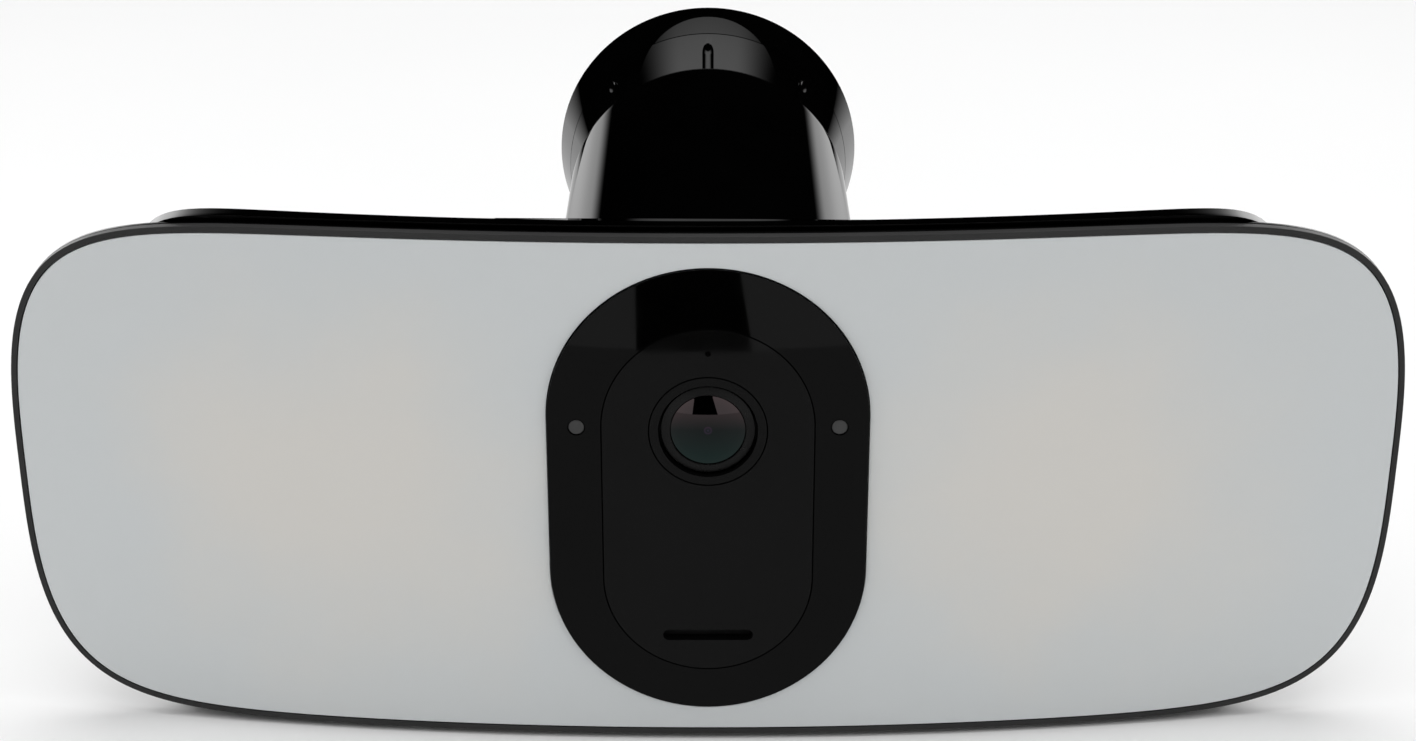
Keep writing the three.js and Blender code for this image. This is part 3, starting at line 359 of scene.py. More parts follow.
def stadium(width, height, count, lift=0.0):
    radius, straight = width / 2, (height - width) / 2
    side = max(2, round(count * straight / (2 * math.pi * radius + 4 * straight)))
    arc = count // 2 - 2 * side
    dots = []
    for i in range(side):
        dots.append(Vector((radius, straight * i / side)))
    for i in range(arc):
        turn = math.pi * i / arc
        dots.append(Vector((radius * math.cos(turn), straight + radius * math.sin(turn))))
    for i in range(side):
        dots.append(Vector((-radius, straight * (1 - i / side))))
    return [Vector((d.x, d.y + lift)) for d in dots + [-d for d in dots]]


# Carries a circle of vertices through a list of rings, each a function of the vertex's number, and then
# joins the last ring to the first or caps both ends.
def loft(count, rings, closed=False):
    bm = bmesh.new()
    number = bm.verts.layers.int.new("number")
    bmesh.ops.create_circle(bm, segments=count, radius=1)
    bm.verts.ensure_lookup_table()
    for i, vert in enumerate(sorted(bm.verts, key=lambda v: math.atan2(v.co.y, v.co.x) % (2 * math.pi))):
        vert[number] = i
        vert.co = rings[0](i)
    edges = bm.edges[:]
    for ring in rings[1:]:
        made = bmesh.ops.extrude_edge_only(bm, edges=edges)["geom"]
        for vert in (g for g in made if isinstance(g, bmesh.types.BMVert)):
            vert.co = ring(vert[number])
        edges = [g for g in made if isinstance(g, bmesh.types.BMEdge) and g.is_boundary]
    if closed:
        bmesh.ops.remove_doubles(bm, verts=bm.verts, dist=1e-4)
    else:
        bmesh.ops.edgeloop_fill(bm, edges=[e for e in bm.edges if e.is_boundary])
    bmesh.ops.recalc_face_normals(bm, faces=bm.faces)
    return bm


# Turns a section's (outline, depth) corners into rings for the loft.
def outlineRings(section):
    def ringOf(dots, depth):
        return lambda i: Vector((dots[i].x, depth, dots[i].y))
    return [ringOf(dots, depth) for dots, depth in section]


def turned(profile, steps=128):
    bm = bmesh.new()
    verts = [bm.verts.new((radius, y, 0)) for radius, y in profile]
    for a, b in zip(verts, verts[1:]):
        bm.edges.new((a, b))
    if profile[0][0] > 1e-6 and profile[-1][0] > 1e-6:
        bm.edges.new((verts[-1], verts[0]))
    bmesh.ops.spin(bm, geom=bm.verts[:] + bm.edges[:], cent=(0, 0, 0), axis=(0, 1, 0),
                   angle=2 * math.pi, steps=steps, use_merge=True)
    bmesh.ops.remove_doubles(bm, verts=bm.verts, dist=1e-4)
    bmesh.ops.recalc_face_normals(bm, faces=bm.faces)
    return bm


def boxed(low, high):
    bm = bmesh.new()
    bmesh.ops.create_cube(bm, size=1)
    size = [h - l for l, h in zip(low, high)]
    bmesh.ops.scale(bm, vec=size, verts=bm.verts)
    bmesh.ops.translate(bm, vec=[(l + h) / 2 for l, h in zip(low, high)], verts=bm.verts)
    return bm


def rod(radius, front, back, x=0, z=0, steps=64):
    bm = bmesh.new()
    bmesh.ops.create_cone(bm, cap_ends=True, segments=steps, radius1=radius, radius2=radius,
                          depth=back - front)
    bmesh.ops.rotate(bm, matrix=Matrix.Rotation(math.pi / 2, 3, "X"), verts=bm.verts)
    bmesh.ops.translate(bm, vec=(x, (front + back) / 2, z), verts=bm.verts)
    return bm


def moved(bm, offset):
    bmesh.ops.translate(bm, vec=offset, verts=bm.verts)
    return bm


# Cuts a flat piece into upright strips and lays it along the panel's sweep.
def bendPanel(bm, radius, step=7.0, reach=185.0):
    x = -reach
    while x < reach:
        geom = bm.verts[:] + bm.edges[:] + bm.faces[:]
        bmesh.ops.bisect_plane(bm, geom=geom, dist=1e-5, plane_co=(x, 0, 0), plane_no=(1, 0, 0))
        x += step
    for vert in bm.verts:
        vert.co.y += sweep(vert.co.x, radius)
    return bm


def sweep(x, radius):
    return radius - math.sqrt(radius * radius - x * x)


def linked(name, bm):
    mesh = bpy.data.meshes.new(name)
    bm.to_mesh(mesh)
    bm.free()
    piece = bpy.data.objects.new(name, mesh)
    bpy.context.scene.collection.objects.link(piece)
    return piece


def meshObject(name, bm, origin):
    bmesh.ops.scale(bm, vec=(mm, mm, mm), verts=bm.verts)
    bmesh.ops.translate(bm, vec=origin, verts=bm.verts)
    piece = linked(name, bm)
    resharpen(piece)
    return piece


def combine(piece, other, operation):
    change = piece.modifiers.new("combine", "BOOLEAN")
    change.operation = operation
    change.solver = "EXACT"
    change.object = other
    settle(piece)
    bpy.data.objects.remove(other)
    return piece


def carve(piece, tools, origin, operation="DIFFERENCE"):
    for tool in tools:
        combine(piece, meshObject("tool", tool, origin), operation)
    return piece


# Applies the live modifiers to the mesh.
def settle(piece):
    view = bpy.context.evaluated_depsgraph_get()
    made = bpy.data.meshes.new_from_object(piece.evaluated_get(view))
    old = piece.data
    piece.modifiers.clear()
    piece.data = made
    bpy.data.meshes.remove(old)


def resharpen(piece, angle=32):
    piece.data.shade_smooth()
    piece.data.set_sharp_from_angle(angle=math.radians(angle))


def standFor(piece, *nodes):
    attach(piece, bodyOf[nodes[0]])
    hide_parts(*nodes)
    piece.data.materials.clear()
    piece.data.materials.append(finishes[slotOf(nodes[0])])
    shading = piece.modifiers.new("shading", "WEIGHTED_NORMAL")
    shading.weight = 80
    shading.keep_sharp = True
    return piece


def roundEdges(piece, width, segments, angle):
    bevel = piece.modifiers.new("edges", "BEVEL")
    bevel.width = width * mm
    bevel.segments = segments
    bevel.limit_method = "ANGLE"
    bevel.angle_limit = math.radians(angle)
    bevel.harden_normals = True
    return piece


# Light panel

panel = {
    "width": spanOf("light_frame").x, "height": spanOf("light_frame").z, "sidePower": 10, "topPower": 3.1,
    "bend": 938, "points": 420, "frameFront": 2.6, "frameBack": 4, "trim": 1.6, "diffuserFront": 0.1,
    "diffuser": 2.2, "flange": 3.5, "edge": 0.2,
}
casing = {
    "width": spanOf("rear_shell").x, "height": spanOf("rear_shell").z, "sidePower": 20, "topPower": 8,
    "bend": 800, "front": 4.3, "wallDepth": 8.1, "crownDepth": 22, "crownWidth": 230, "crownHeight": 110,
    "crownPower": 4, "wall": 2.2, "thinner": 0.6, "edge": 0.2, "boreRadius": 3.2, "boreDepth": 2.4,
    "postRadius": 4.2, "postFront": 3, "postBack": 14,
}
capsule = {
    "width": spanOf("capsule_cover").x, "height": spanOf("capsule_cover").z, "front": -0.3, "back": 3.0,
    "edge": 0.15, "lip": 0.05, "points": 240,
}
count = panel["points"]
panelDots, casingDots = (
    evenOutline(form["width"] / 2, form["height"] / 2, form["sidePower"], form["topPower"], count)
    for form in (panel, casing))


def panelInset(inset):
    return insetOutline(panelDots, inset)


def quarter(radius, steps=4):
    turns = [math.pi / 2 * i / steps for i in range(steps + 1)]
    return [(radius * (1 - math.sin(turn)), radius * (1 - math.cos(turn))) for turn in turns]


def lightFrame():
    front, back, edge = panel["frameFront"], panel["frameBack"], panel["edge"]
    opening = insetOutline(casingDots, panel["flange"])
    section = [(opening, front)]
    section += [(panelInset(inset), front + sink) for inset, sink in quarter(edge)]
    section += [(panelInset(inset), back - rise) for inset, rise in reversed(quarter(edge))]
    section += [(opening, back), (opening, front)]
    bm = loft(count, outlineRings(section), closed=True)
    return standFor(meshObject("panelFrame", bendPanel(bm, panel["bend"]), headOrigin), "light_frame")


def frontTrim():
    end, back, edge = panel["trim"], panel["frameFront"] - gap, panel["edge"]
    section = [(panelInset(0), back)]
    section += [(panelInset(inset), sink) for inset, sink in reversed(quarter(edge))]
    section += [(panelInset(end - inset), sink) for inset, sink in quarter(edge / 2)]
    section += [(panelInset(end), back), (panelInset(0), back)]
    bm = loft(count, outlineRings(section), closed=True)
    return standFor(meshObject("trimFrame", bendPanel(bm, panel["bend"]), headOrigin), "front_trim")


def lightDiffuser():
    start, front = panel["trim"] + gap, panel["diffuserFront"]
    back = front + panel["diffuser"]
    opening = stadium(capsule["width"] + 2 * gap, capsule["height"] + 2 * gap, count)
    rim = [(panelInset(start + inset), front + sink) for inset, sink in reversed(quarter(panel["edge"]))]
    section = [(panelInset(start), back)] + rim
    section += [(opening, front), (opening, back), (panelInset(start), back)]
    bm = loft(count, outlineRings(section), closed=True)
    return standFor(meshObject("diffuser", bendPanel(bm, panel["bend"]), headOrigin), "light_diffuser")


lightFrame()
frontTrim()
lightDiffuser()
print("light panel done")


# Rear casing

def casingRings(inset, front, wallDepth, crownDepth, rounded):
    outline = insetOutline(casingDots, inset)
    crown = evenOutline(casing["crownWidth"] / 2, casing["crownHeight"] / 2,
                        casing["crownPower"], casing["crownPower"], count)
    crownShares = (0, 0.015, 0.04, 0.08, 0.14, 0.2, 0.28, 0.36, 0.45, 0.55, 0.64, 0.74, 0.84, 0.93, 1)
    backScales = (0.9, 0.75, 0.6, 0.45, 0.3, 0.15, 0.04)

    def ringOf(dots, depth, bend, scale=1.0):
        dots = [dot * scale for dot in dots]
        return lambda i: Vector((dots[i].x, depth + sweep(dots[i].x, bend), dots[i].y))

    edge = casing["edge"] if rounded else 0
    start = [(outline, front)]
    if rounded:
        start = [(insetOutline(casingDots, inset + i), front + sink) for i, sink in quarter(edge)]
    rings = [ringOf(dots, depth, panel["bend"]) for dots, depth in start]
    for share in (0.35, 0.7):
        depth, bend = lerp(front + edge, wallDepth, share), lerp(panel["bend"], casing["bend"], share)
        rings.append(ringOf(outline, depth, bend))
    for share in crownShares:
        dots = [a.lerp(b, share) for a, b in zip(outline, crown)]
        depth = lerp(wallDepth, crownDepth, math.sin(share * math.pi / 2))
        rings.append(ringOf(dots, depth, casing["bend"]))
    return rings + [ringOf(crown, crownDepth, casing["bend"], scale) for scale in backScales]


def casingBlank(inset, front, wallDepth, crownDepth, rounded=False):
    return loft(count, casingRings(inset, front, wallDepth, crownDepth, rounded))


def solidCasing(inset=0, front=casing["front"], rounded=False):
    return casingBlank(inset, front, casing["wallDepth"], casing["crownDepth"], rounded)


def rearShell():
    piece = meshObject("casingShell", solidCasing(rounded=True), headOrigin)
    wall, radius = casing["wall"], casing["postRadius"]
    inside = casingBlank(wall, -5, casing["wallDepth"] - casing["thinner"], casing["crownDepth"] - wall)
    carve(piece, [inside], headOrigin)
    bores = []
    for number in (1, 2, 3, 4):
        spot, length = spotOf(f"shell_screw_{number}", headOrigin), spanOf(f"shell_screw_{number}").y
        seat = spot.y + length / 2 - casing["boreDepth"]
        bores.append(rod(casing["boreRadius"], seat, beyond, spot.x, spot.z, 40))
        column = rod(radius, spot.y - casing["postFront"], spot.y + casing["postBack"], spot.x, spot.z, 40)
        post = carve(meshObject("post", column, headOrigin), [solidCasing(gap)], headOrigin, "INTERSECT")
        combine(piece, post, "UNION")
    carve(piece, bores, headOrigin)
    resharpen(piece)
    return standFor(piece, "rear_shell")


rearShell()
print("casing done")


# Camera capsule

face = {
    "width": spanOf("face_plate").x, "height": spanOf("face_plate").z,
    "drop": -spotOf("face_plate", headOrigin).z, "edge": 0.08, "rim": 0.06, "micHole": 0.75,
    "mic": spotOf("microphone", headOrigin).z, "window": spanOf("status_window_left").x / 2,
    "windowBulge": 0.16, "slot": spotOf("speaker_mesh", headOrigin).z, "slotWidth": 24.4, "slotHeight": 3.2,
    "through": (-5, 8),
}
lens = {
    "height": spotOf("lens_ring", headOrigin).z, "ring": spanOf("lens_ring").x / 2, "ringHole": 13.1,
    "ringEdge": 0.05, "barrel": spanOf("lens_barrel").x / 2, "barrelFront": 0.6, "neck": 8.4,
    "glass": spanOf("lens_glass").x / 2, "bulge": 0.45, "seat": 2.2,
}


def capsuleCover():
    points, edge = capsule["points"], capsule["edge"]
    width, height, front, back = capsule["width"], capsule["height"], capsule["front"], capsule["back"]
    hole = stadium(face["width"] + 2 * gap, face["height"] + 2 * gap, points, -face["drop"])
    outer = stadium(width, height, points)
    section = [(outer, back)]
    section += [(stadium(width - 2 * i, height - 2 * i, points), front + s)
                for i, s in reversed(quarter(edge, 5))]
    section += [(insetOutline(hole, -i), front + s) for i, s in quarter(capsule["lip"], 2)]
    section += [(hole, back), (outer, back)]
    piece = meshObject("capsuleCover", loft(points, outlineRings(section), closed=True), headOrigin)
    spots = [spotOf(f"status_window_{word}", headOrigin) for word in ("left", "right")]
    bores = [rod(face["window"] + gap, *face["through"], spot.x, spot.z) for spot in spots]
    carve(piece, bores, headOrigin)
    resharpen(piece)
    return standFor(piece, "capsule_cover")


def facePlate():
    points, front, back, edge = capsule["points"], capsule["front"], capsule["back"], face["edge"]
    through = face["through"]

    def outline(inset):
        return stadium(face["width"] - 2 * inset, face["height"] - 2 * inset, points, -face["drop"])

    section = [(outline(0), back)]
    section += [(outline(inset), front + sink) for inset, sink in reversed(quarter(edge, 3))]
    piece = meshObject("facePlate", loft(points, outlineRings(section)), headOrigin)
    upright = stadium(face["slotHeight"], face["slotWidth"], 64)
    lying = [Vector((dot.y, dot.x + face["slot"])) for dot in upright]
    tools = [
        rod(lens["ring"] + gap, *through, 0, lens["height"], 160),
        rod(face["micHole"], *through, 0, face["mic"], 32),
        loft(64, outlineRings([(lying, depth) for depth in through])),
    ]
    carve(piece, tools, headOrigin)
    roundEdges(piece, face["rim"], 2, 60)
    settle(piece)
    return standFor(piece, "face_plate")


def lensParts():
    front, back, lift, edge = capsule["front"], capsule["back"], (0, 0, lens["height"]), lens["ringEdge"]
    hole, ring, barrel, glass = lens["ringHole"], lens["ring"], lens["barrel"], lens["glass"]
    inFront, slim, seat = lens["barrelFront"], lens["neck"], lens["seat"]
    band = turned([(hole, front + edge), (hole + edge, front), (ring - edge, front), (ring, front + edge),
                   (ring, back), (hole, back)], 192)
    standFor(meshObject("lensRing", moved(band, lift), headOrigin), "lens_ring")
    tube = turned([
        (0, inFront + seat), (glass + gap, inFront + seat), (glass + gap, inFront + 0.12),
        (glass + gap + 0.12, inFront), (barrel - 0.5, inFront + 0.35), (barrel - 0.12, inFront + 0.45),
        (barrel, inFront + 0.7), (barrel, inFront + 4), (slim, inFront + 5), (slim, inFront + 9.4),
        (0, inFront + 9.4),
    ], 192)
    standFor(meshObject("lensBarrel", moved(tube, lift), headOrigin), "lens_barrel")
    rim = inFront + 0.4
    dome = [(glass * i / 24, rim - lens["bulge"] * (1 - (i / 24) ** 2)) for i in range(25)]
    eye = turned(dome + [(glass, inFront + seat - gap), (0, inFront + seat - gap)], 160)
    standFor(meshObject("lensGlass", moved(eye, lift), headOrigin), "lens_glass")


def statusWindows():
    for word in ("left", "right"):
        node = f"status_window_{word}"
        spot, radius = spotOf(node, headOrigin), face["window"]
        front = capsule["front"] + 0.1
        dome = [(radius * i / 8, front + face["windowBulge"] * (i / 8) ** 4) for i in range(9)]
        pane = turned(dome + [(radius, capsule["back"] - 0.5), (0, capsule["back"] - 0.5)], 64)
        standFor(meshObject(f"statusPane{word.title()}", moved(pane, (spot.x, 0, spot.z)), headOrigin), node)


capsuleCover()
facePlate()
lensParts()
statusWindows()
print("capsule done")


# Battery housing

neck = {
    "rearRadius": 38.7, "rearDepth": 72, "frontRadius": 43.5, "frontDepth": 20, "frontTop": 30,
    "frontBottom": -27, "axis": -headOrigin.z / mm, "wall": 2.8, "bulkhead": 55, "bulkheadDepth": 3,
    "shelf": 14, "hatch": -34, "start": 8, "points": 144, "edge": 0.7, "studHole": 5.3, "portFloor": 2,
    "socket": (4.8, 6.3), "hatchWall": 2.5,
}


def neckRing(depth, inset):
    share = (depth - neck["frontDepth"]) / (neck["rearDepth"] - neck["frontDepth"])
    radius = lerp(neck["frontRadius"], neck["rearRadius"], share) - inset
    top = lerp(neck["frontTop"], neck["axis"], share)
    bottom = min(lerp(neck["frontBottom"], neck["axis"], max(share, 0) ** 3), top)

    def place(i):
        turn = 2 * math.pi * (i + 0.5) / neck["points"]
        rise = math.sin(turn)
        return Vector((radius * math.cos(turn), depth, (top if rise > 0 else bottom) + radius * rise))
    return place


def neckForm(inset, front, back, edge=0.0):
    steps = 44
    rings = [neckRing(lerp(front, back - edge, i / steps), inset) for i in range(steps + 1)]
    if edge:
        rings += [neckRing(back - rise, inset + i) for i, rise in list(reversed(quarter(edge, 5)))[1:]]
    return loft(neck["points"], rings)


def casingTool():
    return moved(solidCasing(front=-30), (0, gap, 0))


def batteryHousing():
    inset, start, mouth = neck["wall"], neck["start"], neck["bulkhead"] + neck["bulkheadDepth"]
    everyWay = (beyond, beyond, beyond)
    piece = meshObject("batteryHousing", neckForm(0, start, neck["rearDepth"], neck["edge"]), headOrigin)
    bay = meshObject("bay", neckForm(inset, start - 2, neck["rearDepth"] - 1), headOrigin)
    carve(bay, [boxed((-beyond, neck["bulkhead"], neck["shelf"]), everyWay)], headOrigin)
    opening = meshObject("opening", neckForm(inset, mouth, neck["rearDepth"] + 3), headOrigin)
    ceiling = neck["shelf"] + neck["bulkheadDepth"]
    carve(opening, [boxed((-beyond, 0, -beyond), (beyond, beyond, ceiling))], headOrigin)
    combine(piece, bay, "DIFFERENCE")
    combine(piece, opening, "DIFFERENCE")
    sync, release = spotOf("sync_button", headOrigin), spotOf("release_button", headOrigin)
    syncHole = rod(spanOf("sync_button").z / 2 + gap, 0, 30, 0, 0, 48)
    bmesh.ops.rotate(syncHole, matrix=Matrix.Rotation(math.pi / 2, 3, "Z"), verts=syncHole.verts)
    port, span = spotOf("port_cover", headOrigin), spanOf("port_cover")
    wide, high = neck["socket"]
    tools = [
        casingTool(),
        rod(neck["studHole"], neck["bulkhead"] - 5, mouth + 5, 0, neck["axis"], 48),
        rod(spanOf("release_button").x / 2 + gap, neck["bulkhead"], beyond, 0, release.z, 72),
        moved(syncHole, (-35, sync.y, sync.z)),
        boxed((port.x - neck["portFloor"], port.y - span.y / 2 - gap, port.z - span.z / 2 - gap),
              (60, port.y + span.y / 2 + gap, port.z + span.z / 2 + gap)),
        boxed((20, port.y - wide, port.z - high), (60, port.y + wide, port.z + high)),
        boxed((-beyond, -beyond, -beyond), (beyond, beyond, neck["hatch"])),
    ]
    carve(piece, tools, headOrigin)
    roundEdges(piece, 0.3, 2, 40)
    settle(piece)
    resharpen(piece)
    return standFor(piece, "battery_housing")


def batteryHatch():
    top, rear, everyWay = neck["hatch"] - gap, neck["rearDepth"], (beyond, beyond, beyond)
    piece = meshObject("batteryHatch", neckForm(0, neck["start"], rear), headOrigin)
    carve(piece, [boxed((-beyond, -beyond, top), everyWay), casingTool()], headOrigin)
    hollow = meshObject("hollow", neckForm(neck["wall"], casing["crownDepth"] + 2, rear), headOrigin)
    above = boxed((-beyond, -beyond, top - neck["hatchWall"]), everyWay)
    combine(piece, carve(hollow, [above], headOrigin, "INTERSECT"), "DIFFERENCE")
    roundEdges(piece, 0.3, 2, 40)
    settle(piece)
    resharpen(piece)
    return standFor(piece, "battery_hatch")


batteryHousing()
batteryHatch()
print("housing done")


# Buttons and port cover

button = {"dishWidth": 0.86, "dishDepth": 0.6, "rim": 0.5, "domeWidth": 0.85, "domeHeight": 0.25,
          "shoulder": 0.75}
port = {"corner": 1.2, "flange": 1.6, "lip": 1.0, "lipDepth": 1.6, "lipHalf": 4, "plug": (2.4, 4.4)}


def releaseButton():
    spot, span = spotOf("release_button", headOrigin), spanOf("release_button")
    radius, back, front = span.x / 2, spot.y + span.y / 2, spot.y - span.y / 2
    deep, rim = button["dishDepth"], button["rim"]
    dish = [(radius * i / 12 * button["dishWidth"], back - deep + deep * (i / 12) ** 2) for i in range(13)]
    cap = turned(dish + [(radius - rim, back), (radius, back - rim), (radius, front), (0, front)], 96)
    return standFor(meshObject("releaseButton", moved(cap, (0, 0, spot.z)), headOrigin), "release_button")


def syncButton():
    spot, span = spotOf("sync_button", headOrigin), spanOf("sync_button")
    radius, half = span.z / 2, span.x / 2
    wide, high = button["domeWidth"], button["domeHeight"]
    dome = [(radius * wide * i / 8, -half + high * (i / 8) ** 2) for i in range(9)]
    cap = turned(dome + [(radius, -half + button["shoulder"]), (radius, half), (0, half)], 72)
    bmesh.ops.rotate(cap, matrix=Matrix.Rotation(-math.pi / 2, 3, "Z"), verts=cap.verts)
    return standFor(meshObject("syncButton", moved(cap, spot), headOrigin), "sync_button")


def portCover():
    low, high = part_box("port_cover")
    low, high = (low - headOrigin) / mm, (high - headOrigin) / mm
    lid = boxed((low.x + port["flange"], low.y, low.z), (high.x - port["lip"], high.y, high.z))
    upright = [e for e in lid.edges if abs((e.verts[0].co - e.verts[1].co).x) > 1]
    bmesh.ops.bevel(lid, geom=upright, offset=port["corner"], offset_type="OFFSET", affect="EDGES",
                    segments=6, profile=0.5, material=-1, clamp_overlap=True)
    piece = meshObject("portCover", lid, headOrigin)
    middle = (low + high) / 2
    deep, tall = port["plug"]
    plug = boxed((low.x, middle.y - deep, middle.z - tall), (low.x + 2, middle.y + deep, middle.z + tall))
    lip = boxed((high.x - port["lip"] - 0.2, low.y, middle.z - port["lipHalf"]),
                (high.x, low.y + port["lipDepth"], middle.z + port["lipHalf"]))
    carve(piece, [plug, lip], headOrigin, "UNION")
    roundEdges(piece, 0.35, 3, 40)
    settle(piece)
    return standFor(piece, "port_cover")


releaseButton()
syncButton()
portCover()


# Screws

screw = {"dome": 0.45, "domeWidth": 0.94, "rim": 0.8, "head": 2, "shank": 1.5, "tip": 1.2,
         "cross": (1.8, 0.4), "crossDepth": 1.2}


def panScrew(name, node, origin, headForward):
    spot, span = spotOf(node, origin), spanOf(node)
    half, radius, shank = span.y / 2, span.x / 2, screw["shank"]
    sign = -1 if headForward else 1
    dome = [(radius * screw["domeWidth"] * i / 8, half - screw["dome"] * (i / 8) ** 2) for i in range(9)]
    under = half - screw["head"]
    profile = dome + [(radius, half - screw["rim"]), (radius, under), (shank, under), (shank, 0.5 - half),
                      (screw["tip"], -half), (0, -half)]
    bm = turned([(r, y * sign) for r, y in profile], 48)
    piece = meshObject(name, moved(bm, spot), origin)
    low, high = sorted(((half - screw["crossDepth"]) * sign, (half + 1) * sign))
    long, short = screw["cross"]
    cross = [boxed((spot.x - w, spot.y + low, spot.z - h), (spot.x + w, spot.y + high, spot.z + h))
             for w, h in ((long, short), (short, long))]
    carve(piece, cross, origin)
    resharpen(piece)
    return standFor(piece, node)


for number in (1, 2, 3, 4):
    panScrew(f"shellScrew{number}", f"shell_screw_{number}", headOrigin, False)
for number in (1, 2, 3):
    panScrew(f"baseScrew{number}", f"base_screw_{number}", wallOrigin, True)
print("buttons and screws done")


# Ball mount; depth falls towards the panel

mount = {
    "ball": 18, "ballAt": 23, "clearance": 0.3, "liner": 3, "linerAngles": (66, 116), "stud": 7.5,
    "thread": 5, "base": spanOf("mount_base").x / 2, "parting": 40.1, "baseDepth": 15, "wall": 2.6,
    "boss": 31, "bossFront": 22, "screwHole": 1.8, "screwHead": 3.2, "screwSeat": 7, "steps": 192, "crisp": 0.06,
}
ring = {
    "front": 38, "radius": 34.6, "mouthAngle": 61.5, "nose": 1.2, "flutes": 8, "fluteRadius": 2.2,
    "fluteDepth": 0.7, "fluteStart": 23.5, "fluteOver": 11.5, "fluteTaper": 3.2,
}
plate = {"radius": 38, "depth": 3, "edge": 0.3, "hole": 2.4, "holeCircle": 33, "holes": 4}


def polar(radius, degrees):
    turn = math.radians(degrees)
    return (radius * math.sin(turn), -mount["ballAt"] - radius * math.cos(turn))


def mountBase():
    base, parting, depth, wall = mount["base"], mount["parting"], mount["baseDepth"], mount["wall"]
    pocket = mount["ball"] + mount["clearance"] * 2 + mount["liner"]
    floor = plate["depth"] + gap
    slope = (base - parting) / depth
    bowlEnd = mount["ballAt"] - mount["ball"] - 0.5
    steps, crisp = 14, mount["crisp"]
    openAt = math.degrees(math.acos((mount["bossFront"] - mount["ballAt"]) / pocket))
    closeAt = math.degrees(math.acos((bowlEnd - mount["ballAt"]) / pocket))
    bowl = [polar(pocket, lerp(openAt, closeAt, i / steps)) for i in range(steps + 1)]
    profile = [
        (base - 0.3, 0), (base, -0.4), (parting + crisp * slope, -depth + crisp), (parting - crisp, -depth),
        (parting - wall, -depth), (lerp(base, parting, (floor + 3) / depth) - wall, -floor - 3),
        (mount["boss"], -floor - 3), (mount["boss"], -mount["bossFront"]),
    ] + bowl + [
        (0, -bowlEnd), (0, -floor), (plate["radius"] + gap, -floor), (plate["radius"] + gap, 0),
    ]
    blank = turned(profile, mount["steps"])
    piece = meshObject("mountBase", blank, wallOrigin)
    holes = []
    for number in (1, 2, 3):
        spot = spotOf(f"base_screw_{number}", wallOrigin)
        holes += [rod(mount["screwHole"], -60, 0, spot.x, spot.z, 32),
                  rod(mount["screwHead"], -60, -mount["screwSeat"], spot.x, spot.z, 40)]
    carve(piece, holes, wallOrigin)
    resharpen(piece)
    return standFor(piece, "mount_base")


# A long drop, pointed towards the wall, laid along the ring's slope and turned to its place.
def fluteTool(number, slope, outerAt):
    small = ring["fluteRadius"]
    length = ring["front"] - ring["fluteStart"] + ring["fluteOver"]
    flute = bmesh.new()
    bmesh.ops.create_uvsphere(flute, u_segments=32, v_segments=16, radius=small)
    for vert in flute.verts:
        vert.co.z = vert.co.z - length if vert.co.z < -1e-6 else vert.co.z * ring["fluteTaper"]
    for tilt in (-math.pi / 2, slope):
        bmesh.ops.rotate(flute, matrix=Matrix.Rotation(tilt, 3, "X"), verts=flute.verts)
    start = ring["fluteStart"] + small
    lift = outerAt(start) + small - ring["fluteDepth"]
    bmesh.ops.translate(flute, vec=(0, -start, lift), verts=flute.verts)
    turn = Matrix.Rotation(2 * math.pi * number / ring["flutes"], 3, "Y")
    bmesh.ops.rotate(flute, cent=(0, 0, 0), matrix=turn, verts=flute.verts)
    return flute


def lockRing():
    rear, crisp = mount["baseDepth"] + gap, mount["crisp"]
    pocket = mount["ball"] + mount["clearance"] * 2 + mount["liner"]
    front, radius, parting = ring["front"], ring["radius"], mount["parting"]

    def outerAt(depth):
        return lerp(parting, radius, (depth - mount["baseDepth"]) / (front - mount["baseDepth"]))

    mouth = (front - mount["ballAt"]) * math.tan(math.radians(ring["mouthAngle"]))
    lip = [polar(pocket, lerp(ring["mouthAngle"], 90, i / 10)) for i in range(11)]
    nose = [(outerAt(front - s) - i, -front + s) for i, s in reversed(quarter(ring["nose"], 6))]
    inner = mount["boss"] + 0.5
    profile = [(outerAt(rear) - crisp, -rear), (outerAt(rear + crisp), -rear - crisp)] + nose
    profile += [(mouth + 0.4, -front), (mouth, -front + 0.4)] + lip
    profile += [(inner, -mount["ballAt"]), (inner, -rear)]
    piece = meshObject("lockRing", turned(profile, mount["steps"]), wallOrigin)
    slope = math.atan2(parting - radius, front - mount["baseDepth"])
    carve(piece, [fluteTool(i, slope, outerAt) for i in range(ring["flutes"])], wallOrigin)
    resharpen(piece, 24)
    return standFor(piece, "lock_ring")


def wallPlate():
    radius, depth, edge, many = plate["radius"], plate["depth"], plate["edge"], plate["holes"]
    disc = turned([(0, 0), (radius - edge, 0), (radius, -edge), (radius, edge - depth),
                   (radius - edge, -depth), (0, -depth)], 160)
    piece = meshObject("wallPlate", disc, wallOrigin)
    turns = [2 * math.pi * (i + 0.5) / many for i in range(many)]
    circle = plate["holeCircle"]
    holes = [rod(plate["hole"], -10, 10, circle * math.cos(a), circle * math.sin(a), 40) for a in turns]
    for number in (1, 2, 3):
        spot = spotOf(f"base_screw_{number}", wallOrigin)
        holes.append(rod(mount["screwHole"], -10, 10, spot.x, spot.z, 32))
    carve(piece, holes, wallOrigin)
    resharpen(piece)
    return standFor(piece, "wall_plate")


